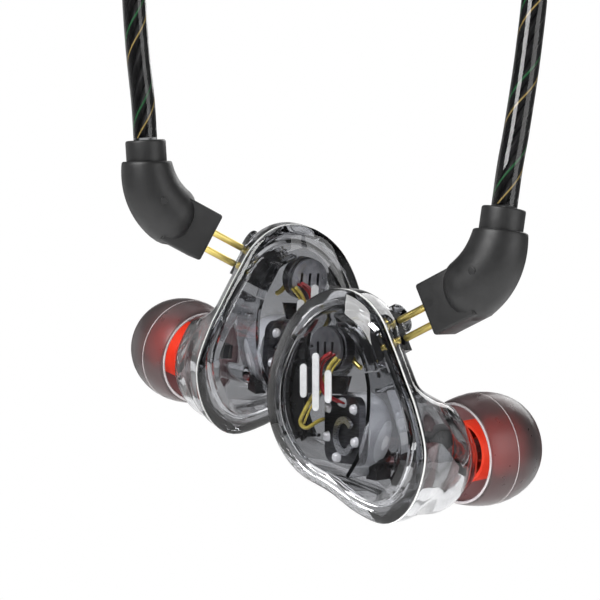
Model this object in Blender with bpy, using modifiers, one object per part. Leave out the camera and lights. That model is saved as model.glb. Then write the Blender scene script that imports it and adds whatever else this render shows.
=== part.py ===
"""In-ear monitors: two clear-shelled earpieces on a detachable cable that hangs from its tied coil.

Lengths are millimetres until a builder function turns them into metres. The origin is the top of the
coil's tie, where the set is hung up, with +Z up. Each earpiece is modelled once, in its own frame:
+Z out of the faceplate, +Y up the shell, +X towards the plug. The left one is its mirror image.
"""

import math

import bmesh
import bpy
from mathutils import Matrix, Vector

MM = 0.001
GAP = 0.3

# Where each earpiece's faceplate centre hangs, and how it is turned (degrees about X, Y, Z).
RIGHT_PLACE = Vector((2.95, -16.0, -150.2))
RIGHT_TURN = (90.0, 0.0, -35.0)
LEFT_PLACE = Vector((-4.2, 0.1, -142.5))
LEFT_TURN = (98.0, 2.0, 20.0)

# Shell: the faceplate's outline, then stations down to the nozzle.
SHELL_WALL = 0.9
OUTLINE_SIDES = 32
RINGS_PER_STATION = 1
OUTLINE = (
    (9.9, -4.6), (8.9, -0.4), (7.5, 3.0), (6.0, 6.4), (4.3, 9.7), (1.9, 11.8), (-0.9, 12.4),
    (-4.0, 11.5), (-6.8, 9.2), (-8.9, 5.6), (-9.9, 2.0), (-9.7, -1.6), (-8.2, -4.9), (-5.7, -7.5),
    (-1.7, -9.3), (1.6, -11.2), (4.9, -12.2), (7.3, -11.2), (9.1, -8.5),
)
# Each station: depth, share of the round section, outline scale, round radius, centre x, centre y.
STATIONS = (
    (0.0, 0.00, 1.000, 9.5, 0.0, 0.0),
    (-2.2, 0.00, 1.000, 9.5, 0.0, 0.0),
    (-4.4, 0.12, 0.975, 9.2, 0.2, -0.5),
    (-6.8, 0.35, 0.92, 8.6, 0.9, -1.9),
    (-9.0, 0.62, 0.84, 7.7, 2.2, -3.7),
    (-11.0, 0.85, 0.74, 6.5, 3.4, -5.0),
    (-12.8, 1.00, 0.60, 5.4, 4.1, -5.7),
    (-14.2, 1.00, 0.50, 4.5, 4.4, -5.95),
)
# Upper front wall: it leans back from the faceplate and flares out again into the neck.
WALL_REACH = 7.4
WALL_LEAN = 0.7
WALL_SPREAD = (6.3, 0.45)
NECK_FLARE = (2.5, 0.5)
WALL_BLEND = 2.0

# Nozzle and ear tip, on one axis that starts at the ear tip's open end.
TIP_ORIGIN = Vector((4.6, -6.0, -15.4))
TIP_AXIS = Vector((0.30, 0.08, -0.95)).normalized()
NOZZLE_RADIUS = 2.6
NOZZLE_LENGTH = 6.0
NOZZLE_LIP = 0.12
TIP_LENGTH = 9.7
CORE_RADIUS = 3.45
CORE_BORE = 3.0
SOUND_BORE = 2.0

# Faceplate rings: height, share of the outline.
FACEPLATE_STEPS = ((1.85, 0.78), (1.8, 0.83), (1.0, 0.985), (0.8, 1.0), (GAP, 1.0))

# Printed mark under the faceplate: level bars (left edge, height) on a base line.
EMBLEM_BARS = ((-2.1, 2.6), (-0.5, 5.6), (1.1, 3.9))
EMBLEM_BAR_WIDTH = 1.0
EMBLEM_BASE = 0.5
EMBLEM_DROP = 2.8
EMBLEM_PLACE = Vector((-3.7, 2.3, -0.1))
EMBLEM_THICKNESS = 0.16

# Two-pin socket and plug, on an axis square to the shell's upper front wall.
SOCKET_ANGLE = 24.4
SOCKET_MOUTH = Vector((4.3, 7.85, -3.6))
SOCKET_SIZE = Vector((4.2, 4.4, 2.5))
PIN_PITCH = 2.06
PIN_RADIUS = 0.39
PIN_BORE = 0.58
BORE_DEPTH = 3.9
PIN_REACH = 4.85
BOSS_RADIUS = 1.7
BOSS_LENGTH = 5.0
BOSS_END = Vector((2.5, 9.3, -7.3))
BLOCK_SIZE = Vector((5.3, 5.8, 4.4))
BLOCK_RISE = 0.25
ELBOW_PATH = (Vector((11.2, 11.3, -3.7)), Vector((15.9, 13.3, -3.7)), Vector((16.3, 18.3, -4.1)))
ELBOW_RADII = (3.4, 3.6, 2.85)
ELBOW_SIDES = 20
# Elbow rings: share of the path, share of the radius there.
ELBOW_STEPS = (
    (0.0, 0.25), (0.02, 0.7), (0.08, 0.93), (0.16, 1.0), (0.3, 1.0), (0.45, 1.0), (0.6, 1.0), (0.75, 1.0),
    (0.9, 1.0), (1.0, 1.0),
)
CABLE_AIM = Vector((0.115, 0.99, -0.08)).normalized()
COLLAR_RADIUS = 2.3
COLLAR_LENGTH = 2.1

# Drivers inside the shell.
DRIVER_BACK = Vector((-2.2, -2.8, -3.0))
DRIVER_AIM = Vector((-0.43, 0.0, 0.90)).normalized()
DRIVER_RADIUS = 4.0
DRIVER_PLATE_HALF = 3.6
DRIVER_PLATE_CORNER = 1.3
DRIVER_PLATE_THICKNESS = 0.8
DRIVER_RING_RADII = (2.1, 1.4)
DRIVER_RING_CENTRE = Vector((1.2, -0.6))
DRIVER_RING_ARC = (35.0, 325.0)
TWEETER_BACK = Vector((-3.4, 5.9, -1.7))
TWEETER_AIM = Vector((-0.20, 0.0, 0.98)).normalized()
TWEETER_RADIUS = 2.5
TWEETER_SLOTS = (-1.1, 0.0, 1.1)
WIRE_RADIUS = 0.25
RED_WIRE = (
    (-2.2, 5.5, -0.95), (-3.0, 5.1, -0.95), (-3.7, 4.3, -0.85), (-3.85, 3.0, -0.8), (-3.4, 1.8, -0.85),
    (-2.8, 0.9, -1.1), (-2.0, 0.4, -1.7), (-1.85, 0.2, -2.35),
)
YELLOW_WIRE = (
    (-1.5, 5.0, -0.9), (-2.3, 4.2, -0.95), (-2.9, 3.3, -1.1), (-3.5, 2.5, -1.5), (-4.6, 1.2, -1.45),
    (-5.6, -0.6, -1.1), (-6.3, -2.0, -1.1), (-5.8, -2.7, -1.5), (-5.0, -2.0, -2.6), (-4.8, -1.8, -3.4),
)
# Cradle plate that holds both drivers: an arm down the back wall and a bridge between the drivers.
CRADLE = (
    (-5.9, 7.6), (-7.4, 5.2), (-8.4, 1.7), (-8.2, -1.4), (-6.8, -4.2), (-6.5, -3.9), (-6.5, 1.0),
    (-1.2, 1.1), (-0.6, 3.0), (-4.6, 3.0), (-5.9, 3.9), (-6.4, 5.4),
)
CRADLE_THICKNESS = 0.6
CRADLE_DEPTH = -2.3

# Cable: sleeved ear guides, two branches through the cinch, then the coil, the split and the jack.
GUIDE_RADIUS = 1.35
CABLE_RADIUS = 1.0
BRANCH_X = 1.7
CINCH_LOW = -57.0
CINCH_SIZE = Vector((7.4, 4.4, 7.0))
COIL_CENTRE = Vector((0.0, 0.0, -20.0))
COIL_RADIUS = 13.0
BUNDLE_RADIUS = 5.2
TIE_WIDTH = 7.0
TIE_RADIUS = 7.0
SPLIT_CENTRE = Vector((-13.0, -8.2, -20.0))
JACK_TOP = Vector((18.0, 0.5, -44.3))

# Routes through their own points, from each ear guide's root to the coil.
RIGHT_GUIDE = (
    (20.4, -21.6, -121.0), (21.7, -20.6, -113.0), (22.7, -18.8, -105.0), (22.8, -16.2, -97.0),
    (21.3, -12.8, -89.0), (18.0, -8.8, -81.5), (13.2, -5.2, -75.0), (7.6, -2.3, -69.5),
    (3.6, -0.6, -64.2),
)
LEFT_GUIDE = (
    (-20.4, -4.5, -110.5), (-20.8, -4.7, -104.0), (-20.8, -4.7, -97.5), (-19.9, -4.4, -91.0),
    (-17.8, -3.8, -85.0), (-14.6, -2.9, -79.2), (-10.8, -1.9, -73.8), (-6.9, -0.9, -68.8),
    (-3.6, -0.2, -64.2),
)
TRUNK_ROUTE = ((17.3, 0.6, -31.2), (17.6, 0.55, -35.5), (17.9, 0.5, -39.8), (18.0, 0.5, -44.0))

# Turned pieces of the jack, below JACK_TOP: name, finish, (radius, height) profile.
JACK_PIECES = (
    ("jack_boot", "black_plastic", ((0, 0), (1.4, 0), (1.5, -0.4), (2.0, -7.6), (2.0, -8.0), (0, -8.0))),
    ("jack_body", "black_plastic", (
        (0, -8.3), (2.6, -8.3), (3.0, -8.8), (3.0, -22.2), (2.8, -22.6), (0, -22.6))),
    ("jack_sleeve", "gold", ((0, -22.9), (1.75, -22.9), (1.75, -29.6), (0, -29.6))),
    ("jack_ring", "gold", ((0, -29.9), (1.75, -29.9), (1.75, -32.4), (0, -32.4))),
    ("jack_tip", "gold", (
        (0, -32.7), (1.4, -32.7), (1.75, -33.5), (1.75, -34.6), (1.25, -35.2), (0.5, -36.6), (0, -36.7))),
)
SPLIT_PROFILE = (
    (0, 6.5), (1.6, 6.5), (2.2, 5.6), (2.5, 4.0), (2.5, -4.0), (2.3, -6.0), (1.9, -6.5), (0, -6.5),
)

# Surface finishes: colour, roughness, metallic, alpha.
FINISHES = {
    "smoke_shell": ((0.35, 0.36, 0.38), 0.06, 0.0, 0.35),
    "smoke_cup": ((0.22, 0.23, 0.25), 0.25, 0.0, 0.7),
    "white_print": ((0.90, 0.90, 0.88), 0.5, 0.0, 1.0),
    "dark_metal": ((0.13, 0.13, 0.14), 0.4, 0.8, 1.0),
    "silver_metal": ((0.72, 0.73, 0.75), 0.3, 1.0, 1.0),
    "gold": ((0.85, 0.66, 0.22), 0.25, 1.0, 1.0),
    "black_plastic": ((0.02, 0.02, 0.022), 0.5, 0.0, 1.0),
    "red_wire": ((0.45, 0.04, 0.05), 0.4, 0.0, 1.0),
    "yellow_wire": ((0.62, 0.50, 0.10), 0.35, 0.0, 1.0),
    "mesh_steel": ((0.45, 0.45, 0.46), 0.4, 1.0, 1.0),
    "damper_foam": ((0.08, 0.08, 0.08), 0.9, 0.0, 1.0),
    "grey_silicone": ((0.16, 0.15, 0.16), 0.35, 0.0, 0.75),
    "red_silicone": ((0.85, 0.08, 0.03), 0.4, 0.0, 1.0),
    "clear_sleeve": ((0.05, 0.05, 0.05), 0.1, 0.0, 1.0),
    "cable_jacket": ((0.015, 0.015, 0.015), 0.3, 0.0, 1.0),
    "tie_fabric": ((0.03, 0.03, 0.035), 0.9, 0.0, 1.0),
}


def clear_scene():
    for obj in list(bpy.data.objects):
        bpy.data.objects.remove(obj, do_unlink=True)


def new_collection(name, shown=True):
    collection = bpy.data.collections.new(name)
    collection.hide_render = not shown
    bpy.context.scene.collection.children.link(collection)
    return collection


def make_materials():
    for name, (colour, roughness, metallic, alpha) in FINISHES.items():
        material = bpy.data.materials.new(name)
        material.use_nodes = True
        shader = material.node_tree.nodes["Principled BSDF"]
        shader.inputs["Base Color"].default_value = (*colour, 1.0)
        shader.inputs["Roughness"].default_value = roughness
        shader.inputs["Metallic"].default_value = metallic
        shader.inputs["Alpha"].default_value = alpha


class Place:
    """Where a piece goes: under a parent empty, from a point, along an axis."""

    def __init__(self, parent, collection, prefix=""):
        self.parent = parent
        self.collection = collection
        self.prefix = prefix

    def put(self, obj, finish, origin=(0, 0, 0), axis=(0, 0, 1), across=None):
        self.collection.objects.link(obj)
        obj.name = self.prefix + obj.name
        obj.parent = self.parent
        obj.location = Vector(origin) * MM
        obj.rotation_euler = aimed(axis, across).to_euler()
        if finish:
            obj.data.materials.append(bpy.data.materials[finish])
        return obj


def aimed(axis, across=None):
    """Rotation whose Z runs along axis, with X as near to across as it can be."""
    z_axis = Vector(axis).normalized()
    hint = Vector(across) if across else Vector((1, 0, 0))
    if abs(z_axis.dot(hint.normalized())) > 0.99:
        hint = Vector((0, 1, 0))
    y_axis = z_axis.cross(hint).normalized()
    x_axis = y_axis.cross(z_axis)
    return Matrix((x_axis, y_axis, z_axis)).transposed()


def mesh_object(name, bm, sharp=35.0):
    mesh = bpy.data.meshes.new(name)
    bm.to_mesh(mesh)
    bm.free()
    mesh.shade_smooth()
    mesh.set_sharp_from_angle(angle=math.radians(sharp))
    return bpy.data.objects.new(name, mesh)


def turned(name, profile, steps=24):
    """Round piece from (radius, height) points down its outer side; ends on the axis or closes."""
    bm = bmesh.new()
    verts = [bm.verts.new((radius * MM, 0, height * MM)) for radius, height in profile]
    on_axis = profile[0][0] == 0 and profile[-1][0] == 0
    for start, end in zip(verts, verts[1:] if on_axis else verts[1:] + verts[:1]):
        bm.edges.new((start, end))
    obj = mesh_object(name, bm)
    screw = obj.modifiers.new("turn", "SCREW")
    screw.steps = steps
    screw.render_steps = steps
    screw.use_merge_vertices = True
    screw.merge_threshold = 1e-6
    return obj


def block(name, size, bevel=0.0, centre=(0, 0, 0), segments=2):
    bm = bmesh.new()
    bmesh.ops.create_cube(bm, size=1.0)
    for vert in bm.verts:
        vert.co = Vector(c * s + o for c, s, o in zip(vert.co, size, centre)) * MM
    obj = mesh_object(name, bm)
    if bevel:
        rounded = obj.modifiers.new("rounded", "BEVEL")
        rounded.width = bevel * MM
        rounded.segments = segments
    return obj


def rod(name, radius, low, high, sides=16):
    bm = bmesh.new()
    bmesh.ops.create_cone(
        bm, cap_ends=True, segments=sides, radius1=radius * MM, radius2=radius * MM,
        depth=(high - low) * MM, matrix=Matrix.Translation((0, 0, (low + high) / 2 * MM)),
    )
    return mesh_object(name, bm)


def flat_plate(name, outline, thickness):
    """Outline of (x, y) points, centred on z = 0."""
    curve = bpy.data.curves.new(name, "CURVE")
    curve.dimensions = "2D"
    curve.fill_mode = "BOTH"
    curve.extrude = thickness / 2 * MM
    spline = curve.splines.new("POLY")
    spline.points.add(len(outline) - 1)
    spline.use_cyclic_u = True
    for point, (x, y) in zip(spline.points, outline):
        point.co = (x * MM, y * MM, 0, 1)
    return bpy.data.objects.new(name, curve)


def wire(name, points, radius):
    curve = bpy.data.curves.new(name, "CURVE")
    curve.dimensions = "3D"
    curve.bevel_depth = radius * MM
    curve.bevel_resolution = 2
    curve.use_fill_caps = True
    spline = curve.splines.new("POLY")
    spline.points.add(len(points) - 1)
    for point, place in zip(spline.points, points):
        point.co = (*(Vector(place) * MM), 1)
    return bpy.data.objects.new(name, curve)


def catmull(before, start, end, after, t):
    return 0.5 * (
        2 * start + (end - before) * t + (2 * before - 5 * start + 4 * end - after) * t**2
        + (3 * start - before - 3 * end + after) * t**3
    )


def smooth_route(points, spacing):
    """Points about a spacing apart on one smooth curve through the route's own points."""
    route = [Vector(point) for point in points]
    route = [2 * route[0] - route[1], *route, 2 * route[-1] - route[-2]]
    result = []
    for before, start, end, after in zip(route, route[1:], route[2:], route[3:]):
        steps = max(1, round((end - start).length / spacing))
        result += [catmull(before, start, end, after, step / steps) for step in range(steps)]
    return [*result, route[-2]]


def closed_outline(points, count):
    """Even angles round a smooth closed curve, counter-clockwise from +X."""
    corners = [Vector(point) for point in points]
    dense = []
    for index, start in enumerate(corners):
        before = corners[index - 1]
        end = corners[(index + 1) % len(corners)]
        after = corners[(index + 2) % len(corners)]
        dense += [catmull(before, start, end, after, step / 12) for step in range(12)]
    angles = [math.atan2(point.y, point.x) % math.tau for point in dense]
    ring = []
    for index in range(count):
        angle = math.tau * index / count
        nearest = min(range(len(dense)), key=lambda i: abs(math.remainder(angles[i] - angle, math.tau)))
        ring.append(dense[nearest].length * Vector((math.cos(angle), math.sin(angle))))
    return ring


def loft(name, rings, cap=True, sharp=35.0):
    """Skin over rings of 3D points, each counter-clockwise seen from the first ring's outside."""
    bm = bmesh.new()
    loops = [[bm.verts.new(point * MM) for point in ring] for ring in rings]
    count = len(rings[0])
    for upper, lower in zip(loops, loops[1:]):
        for index in range(count):
            after = (index + 1) % count
            bm.faces.new((upper[index], lower[index], lower[after], upper[after]))
    if cap:
        bm.faces.new(loops[0])
        bm.faces.new(reversed(loops[-1]))
    return mesh_object(name, bm, sharp)


def cut(obj, cutter, operation="DIFFERENCE"):
    """Boolean with a hidden guide object."""
    cutter.hide_render = True
    cutter.display_type = "WIRE"
    modifier = obj.modifiers.new(cutter.name, "BOOLEAN")
    modifier.operation = operation
    modifier.object = cutter
    modifier.solver = "EXACT"


def shell_rings():
    outline = closed_outline(OUTLINE, OUTLINE_SIDES)
    stations = [Vector(station) for station in STATIONS]
    padded = [2 * stations[0] - stations[1], *stations, 2 * stations[-1] - stations[-2]]
    rings = []
    for part in zip(padded, padded[1:], padded[2:], padded[3:]):
        for step in range(RINGS_PER_STATION):
            rings.append(station_ring(catmull(*part, step / RINGS_PER_STATION), outline))
    rings.append(station_ring(stations[-1], outline))
    for radius, height in nozzle_profile():
        rings.append(nozzle_ring(radius, height))
    return rings


def station_ring(station, outline):
    depth, roundness, scale, radius, centre_x, centre_y = station
    roundness = min(max(roundness, 0.0), 1.0)
    centre = Vector((centre_x, centre_y, depth))
    tilt = Vector((0, 0, 1)).lerp(-TIP_AXIS, roundness).normalized()
    turn = Vector((0, 0, 1)).rotation_difference(tilt)
    ring = []
    for point in outline:
        across = point.normalized() * radius
        flat = (point * scale).lerp(across, roundness)
        spot = centre + turn @ Vector((flat.x, flat.y, 0))
        spot.x = soft_least(spot.x, wall_limit(spot))
        ring.append(spot)
    return ring


def soft_least(first, second):
    return -math.log(math.exp(-WALL_BLEND * first) + math.exp(-WALL_BLEND * second)) / WALL_BLEND


def wall_limit(spot):
    """How far towards the plug the leaning upper wall lets the shell reach at this height and depth."""
    spread_top, spread = WALL_SPREAD
    flare_top, flare = NECK_FLARE
    widening = spread * max(0.0, spread_top - spot.y) + flare * max(0.0, flare_top - spot.y) ** 2
    return WALL_REACH + widening + WALL_LEAN * spot.z


def nozzle_profile():
    return (
        (3.9, -0.55), (3.3, 0.05), (NOZZLE_RADIUS, 0.35), (NOZZLE_RADIUS, 2.6), (NOZZLE_RADIUS, 4.9),
        (NOZZLE_RADIUS + NOZZLE_LIP, 5.2), (NOZZLE_RADIUS + NOZZLE_LIP, NOZZLE_LENGTH),
    )


def nozzle_ring(radius, height):
    turn = Vector((0, 0, 1)).rotation_difference(-TIP_AXIS)
    ring = []
    for index in range(OUTLINE_SIDES):
        angle = math.tau * index / OUTLINE_SIDES
        across = Vector((math.cos(angle) * radius, math.sin(angle) * radius, 0))
        ring.append(TIP_ORIGIN + TIP_AXIS * height + turn @ across)
    return ring


def socket_axes():
    angle = math.radians(SOCKET_ANGLE)
    out = Vector((math.cos(angle), math.sin(angle), 0))
    up = Vector((-math.sin(angle), math.cos(angle), 0))
    return out, up


def make_shell(place, guides):
    out, _ = socket_axes()
    shell = loft("shell", shell_rings(), cap=False)
    wall = shell.modifiers.new("wall", "SOLIDIFY")
    wall.thickness = SHELL_WALL * MM
    wall.offset = -1
    wall.use_even_offset = True
    place.put(shell, "smoke_shell")
    boss = rod("boss", BOSS_RADIUS, -BOSS_LENGTH, 0.0)
    guides.put(boss, None, BOSS_END, out)
    cut(shell, boss, "UNION")
    margin = Vector((GAP, GAP, GAP))
    opening = block("socket_opening", SOCKET_SIZE + 2 * margin, 0.0, (-SOCKET_SIZE.x / 2 + 0.6, 0, 0))
    guides.put(opening, None, SOCKET_MOUTH, (0, 0, 1), out)
    cut(shell, opening)


def make_faceplate(place):
    outline = closed_outline(OUTLINE, OUTLINE_SIDES)
    rings = []
    for height, scale in FACEPLATE_STEPS:
        rings.append([Vector((point.x * scale, point.y * scale, height)) for point in outline])
    place.put(loft("faceplate", rings, sharp=20.0), "smoke_shell")


def make_emblem(place):
    """Plain level bars on a base line."""
    first, last = EMBLEM_BARS[0][0], EMBLEM_BARS[-1][0] + EMBLEM_BAR_WIDTH
    points = [(first, 0.0), (last, 0.0)]
    for left, height in reversed(EMBLEM_BARS):
        right = left + EMBLEM_BAR_WIDTH
        points += [(right, EMBLEM_BASE), (right, height), (left, height), (left, EMBLEM_BASE)]
    emblem = flat_plate("emblem", [(x, y - EMBLEM_DROP) for x, y in points], EMBLEM_THICKNESS)
    place.put(emblem, "white_print", EMBLEM_PLACE)


def rounded_square(half, corner, steps=6):
    """Corner arcs of a square, counter-clockwise from +X."""
    points = []
    for quarter, (side_x, side_y) in enumerate(((1, 1), (-1, 1), (-1, -1), (1, -1))):
        for step in range(steps):
            angle = math.pi / 2 * (quarter + step / (steps - 1))
            x = side_x * (half - corner) + corner * math.cos(angle)
            y = side_y * (half - corner) + corner * math.sin(angle)
            points.append((x, y))
    return points


def open_ring(centre, radii, arc, steps=18):
    """Outline of a flat ring with a gap, from its centre, two radii and its start and end angles."""
    start, end = arc
    angles = [math.radians(start + (end - start) * step / steps) for step in range(steps + 1)]
    points = []
    for radius, run in zip(radii, (angles, reversed(angles))):
        for angle in run:
            points.append((centre.x + radius * math.cos(angle), centre.y + radius * math.sin(angle)))
    return points


def make_driver(place):
    def put(obj, finish, rise=0.0):
        place.put(obj, finish, DRIVER_BACK + DRIVER_AIM * rise, DRIVER_AIM)

    outline = rounded_square(DRIVER_PLATE_HALF, DRIVER_PLATE_CORNER)
    plate = flat_plate("driver_plate", outline, DRIVER_PLATE_THICKNESS)
    put(plate, "dark_metal", -DRIVER_PLATE_THICKNESS / 2)
    outline = open_ring(DRIVER_RING_CENTRE, DRIVER_RING_RADII, DRIVER_RING_ARC)
    ring = flat_plate("driver_ring", outline, GAP)
    put(ring, "silver_metal", 1.5 * GAP)
    radius = DRIVER_RADIUS
    put(turned("driver_housing", (
        (radius, -1.1), (radius, -2.8), (radius - 0.5, -3.8), (radius - 1.3, -4.2), (1.2, -4.2),
        (1.2, -3.8), (radius - 1.4, -3.8), (radius - 0.8, -3.4), (radius - 0.5, -2.7), (radius - 0.5, -1.1),
    )), "smoke_cup")
    put(rod("driver_magnet", 2.4, -2.4, -1.1, 20), "silver_metal")
    dome = ((0, -3.0), (1.4, -3.05), (2.6, -2.75), (2.6, -2.9), (1.4, -3.2), (0, -3.15))
    put(turned("driver_diaphragm", dome, 20), "mesh_steel")


def make_tweeter(place, guides):
    radius = TWEETER_RADIUS
    place.put(turned("tweeter_body", (
        (0, -0.6), (radius - 0.15, -0.6), (radius, -0.75), (radius, -1.9), (radius - 0.5, -2.2), (0, -2.2),
    )), "dark_metal", TWEETER_BACK, TWEETER_AIM)
    plate = rod("tweeter_plate", radius - 0.1, -0.3, 0.1, 24)
    place.put(plate, "silver_metal", TWEETER_BACK, TWEETER_AIM)
    for index, shift in enumerate(TWEETER_SLOTS):
        slot = block(f"tweeter_slot_{index}", (0.35, 1.5, 2.0), 0.0, (shift, 0, 0))
        guides.put(slot, None, TWEETER_BACK, TWEETER_AIM)
        cut(plate, slot)


def make_cradle(place):
    place.put(flat_plate("driver_cradle", CRADLE, CRADLE_THICKNESS), "black_plastic", (0, 0, CRADLE_DEPTH))


def make_socket(place, guides):
    out, up = socket_axes()
    socket = block("socket", SOCKET_SIZE, 0.0, (-SOCKET_SIZE.x / 2, 0, 0))
    place.put(socket, "black_plastic", SOCKET_MOUTH, (0, 0, 1), out)
    for name, side in (("upper", 1), ("lower", -1)):
        bore = rod(f"socket_bore_{name}", PIN_BORE, -BORE_DEPTH, 0.5, 12)
        guides.put(bore, None, SOCKET_MOUTH + up * side * PIN_PITCH / 2, out)
        cut(socket, bore)
    board = block("socket_board", (0.5, 3.8, 2.1), 0.0, (-SOCKET_SIZE.x - GAP - 0.25, 0, 0))
    place.put(board, "gold", SOCKET_MOUTH, (0, 0, 1), out)


def make_wires(place):
    place.put(wire("wire_red", smooth_route(RED_WIRE, 0.8), WIRE_RADIUS), "red_wire")
    place.put(wire("wire_yellow", smooth_route(YELLOW_WIRE, 1.0), WIRE_RADIUS), "yellow_wire")


def make_nozzle_parts(place):
    bore = NOZZLE_RADIUS - SHELL_WALL - GAP
    damper = rod("nozzle_damper", bore, 1.5, 4.2, 12)
    screen = rod("nozzle_mesh", bore, 5.2, 5.6, 16)
    place.put(damper, "damper_foam", TIP_ORIGIN, TIP_AXIS)
    place.put(screen, "mesh_steel", TIP_ORIGIN, TIP_AXIS)


def make_ear_tip(place):
    seat = CORE_RADIUS + GAP
    flange = (
        (seat, 9.35), (4.2, 9.0), (5.0, 8.2), (5.66, 7.2), (6.16, 6.0), (6.45, 4.1), (6.3, 2.0), (5.75, 0.0),
        (5.25, 0.0), (5.75, 2.1), (5.9, 4.1), (5.6, 5.9), (5.0, 7.1), (seat, 8.1),
    )
    place.put(turned("ear_tip", flange, 24), "grey_silicone", TIP_ORIGIN, TIP_AXIS)
    core = (
        (SOUND_BORE, TIP_LENGTH), (CORE_RADIUS - 0.1, TIP_LENGTH), (CORE_RADIUS, TIP_LENGTH - 0.2),
        (CORE_RADIUS, 1.0), (CORE_BORE, 1.0), (CORE_BORE, 6.4), (SOUND_BORE, 7.0),
    )
    place.put(turned("ear_tip_core", core, 24), "red_silicone", TIP_ORIGIN, TIP_AXIS)


def bezier(points, t):
    first, middle, last = points
    return first * (1 - t) ** 2 + middle * 2 * t * (1 - t) + last * t**2


def elbow_ring(share, shrink):
    """Round section of the plug's elbow at a share of its path."""
    step = 0.01
    centre = bezier(ELBOW_PATH, share)
    radius = shrink * bezier(ELBOW_RADII, share)
    aim = (bezier(ELBOW_PATH, share + step) - bezier(ELBOW_PATH, share - step)).normalized()
    lift = aim.cross(Vector((0, 0, 1))).normalized()
    side = lift.cross(aim)
    ring = []
    for index in range(ELBOW_SIDES):
        angle = math.tau * index / ELBOW_SIDES
        ring.append(centre + radius * (math.cos(angle) * side + math.sin(angle) * lift))
    return ring


def make_plug(place, guides):
    out, up = socket_axes()
    body = block("plug_body", BLOCK_SIZE, GAP, (BLOCK_SIZE.x / 2, BLOCK_RISE, 0))
    place.put(body, "black_plastic", SOCKET_MOUTH + out * (PIN_REACH + 0.1), (0, 0, 1), out)
    elbow = loft("plug_elbow", [elbow_ring(share, shrink) for share, shrink in ELBOW_STEPS])
    guides.put(elbow, None)
    cut(body, elbow, "UNION")
    for name, side in (("a", 1), ("b", -1)):
        root = SOCKET_MOUTH + up * side * PIN_PITCH / 2
        pocket = rod(f"pin_pocket_{name}", PIN_RADIUS + GAP / 2, PIN_REACH - 1.0, PIN_REACH + 1.5, 12)
        guides.put(pocket, None, root, out)
        cut(body, pocket)
        pin = turned(f"plug_pin_{name}", (
            (0, PIN_REACH + 1.2), (PIN_RADIUS, PIN_REACH + 1.2), (PIN_RADIUS, GAP + 0.3),
            (PIN_RADIUS * 0.75, GAP + 0.08), (0, GAP),
        ), 12)
        place.put(pin, "gold", root, out)
    collar = turned("plug_collar", (
        (COLLAR_RADIUS - 0.15, COLLAR_LENGTH), (COLLAR_RADIUS, COLLAR_LENGTH - 0.15), (COLLAR_RADIUS, 0.0),
        (CABLE_RADIUS + GAP, 0.0), (CABLE_RADIUS + GAP, COLLAR_LENGTH),
    ))
    place.put(collar, "black_plastic", ELBOW_PATH[2] + CABLE_AIM * GAP, CABLE_AIM)


def make_earpiece(collection, guide_collection, name, spot, turn, side):
    """One earpiece and the plug that meets it; side -1 mirrors them."""
    stand = bpy.data.objects.new(f"{name}_stand", None)
    collection.objects.link(stand)
    stand.location = spot * MM
    stand.rotation_euler = [math.radians(angle) for angle in turn]
    stand.scale = (side, 1, 1)
    place = Place(stand, collection, f"{name}_")
    guides = Place(stand, guide_collection, f"{name}_")
    make_shell(place, guides)
    make_faceplate(place)
    make_emblem(place)
    make_driver(place)
    make_tweeter(place, guides)
    make_cradle(place)
    make_socket(place, guides)
    make_wires(place)
    make_nozzle_parts(place)
    make_ear_tip(place)
    make_plug(place, guides)
    return stand


def guide_root(stand):
    """Two route points on the cable's line out of the plug's collar."""
    bpy.context.view_layer.update()
    root = ELBOW_PATH[2] + CABLE_AIM * (COLLAR_LENGTH + 2 * GAP)
    lead = root + CABLE_AIM * 4.0
    return [stand.matrix_world @ (point * MM) / MM for point in (root, lead)]


def make_branch(place, stand, guide, side):
    route = guide_root(stand) + [Vector(point) for point in guide]
    place.put(wire("ear_guide", smooth_route(route, 3.0), GUIDE_RADIUS), "clear_sleeve")
    end = Vector(guide[-1])
    aim = (end - Vector(guide[-2])).normalized()
    straight = side * BRANCH_X
    coil_low = COIL_CENTRE.z - COIL_RADIUS - BUNDLE_RADIUS - GAP
    heights = (CINCH_LOW - 3.0, CINCH_LOW - 0.5, CINCH_LOW + 5.0, CINCH_LOW + 11.0, coil_low)
    route = [end + aim * GAP] + [Vector((straight, 0, height)) for height in heights]
    place.put(wire("cable", smooth_route(route, 2.6), CABLE_RADIUS), "cable_jacket")


def make_cinch(place, guides):
    cinch = block("cinch", CINCH_SIZE, 1.6, segments=3)
    centre = Vector((0, 0, CINCH_LOW + CINCH_SIZE.z / 2))
    place.put(cinch, "black_plastic", centre)
    for name, side in (("right", 1), ("left", -1)):
        bore = rod(f"cinch_bore_{name}", CABLE_RADIUS + 0.12, -6.0, 6.0, 16)
        guides.put(bore, None, centre + Vector((side * BRANCH_X, 0, 0)))
        cut(cinch, bore)


def make_coil(place):
    section = []
    for index in range(10):
        angle = math.pi / 2 - math.tau * index / 10
        section.append((COIL_RADIUS + BUNDLE_RADIUS * math.cos(angle), BUNDLE_RADIUS * math.sin(angle)))
    place.put(turned("coil", section, 32), "cable_jacket", COIL_CENTRE, (0, 1, 0))
    tie_inner = BUNDLE_RADIUS + 1.0
    half = TIE_WIDTH / 2
    tie = turned("coil_tie", (
        (TIE_RADIUS - 0.2, half), (TIE_RADIUS, half - 0.2), (TIE_RADIUS, 0.2 - half),
        (TIE_RADIUS - 0.2, -half), (tie_inner, -half), (tie_inner, half),
    ))
    place.put(tie, "tie_fabric", COIL_CENTRE + Vector((0, 0, COIL_RADIUS)), (1, 0, 0))


def make_split_and_trunk(place):
    split = turned("y_split", SPLIT_PROFILE)
    place.put(split, "black_plastic", SPLIT_CENTRE)
    place.put(wire("trunk_cable", smooth_route(TRUNK_ROUTE, 2.4), CABLE_RADIUS), "cable_jacket")


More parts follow.
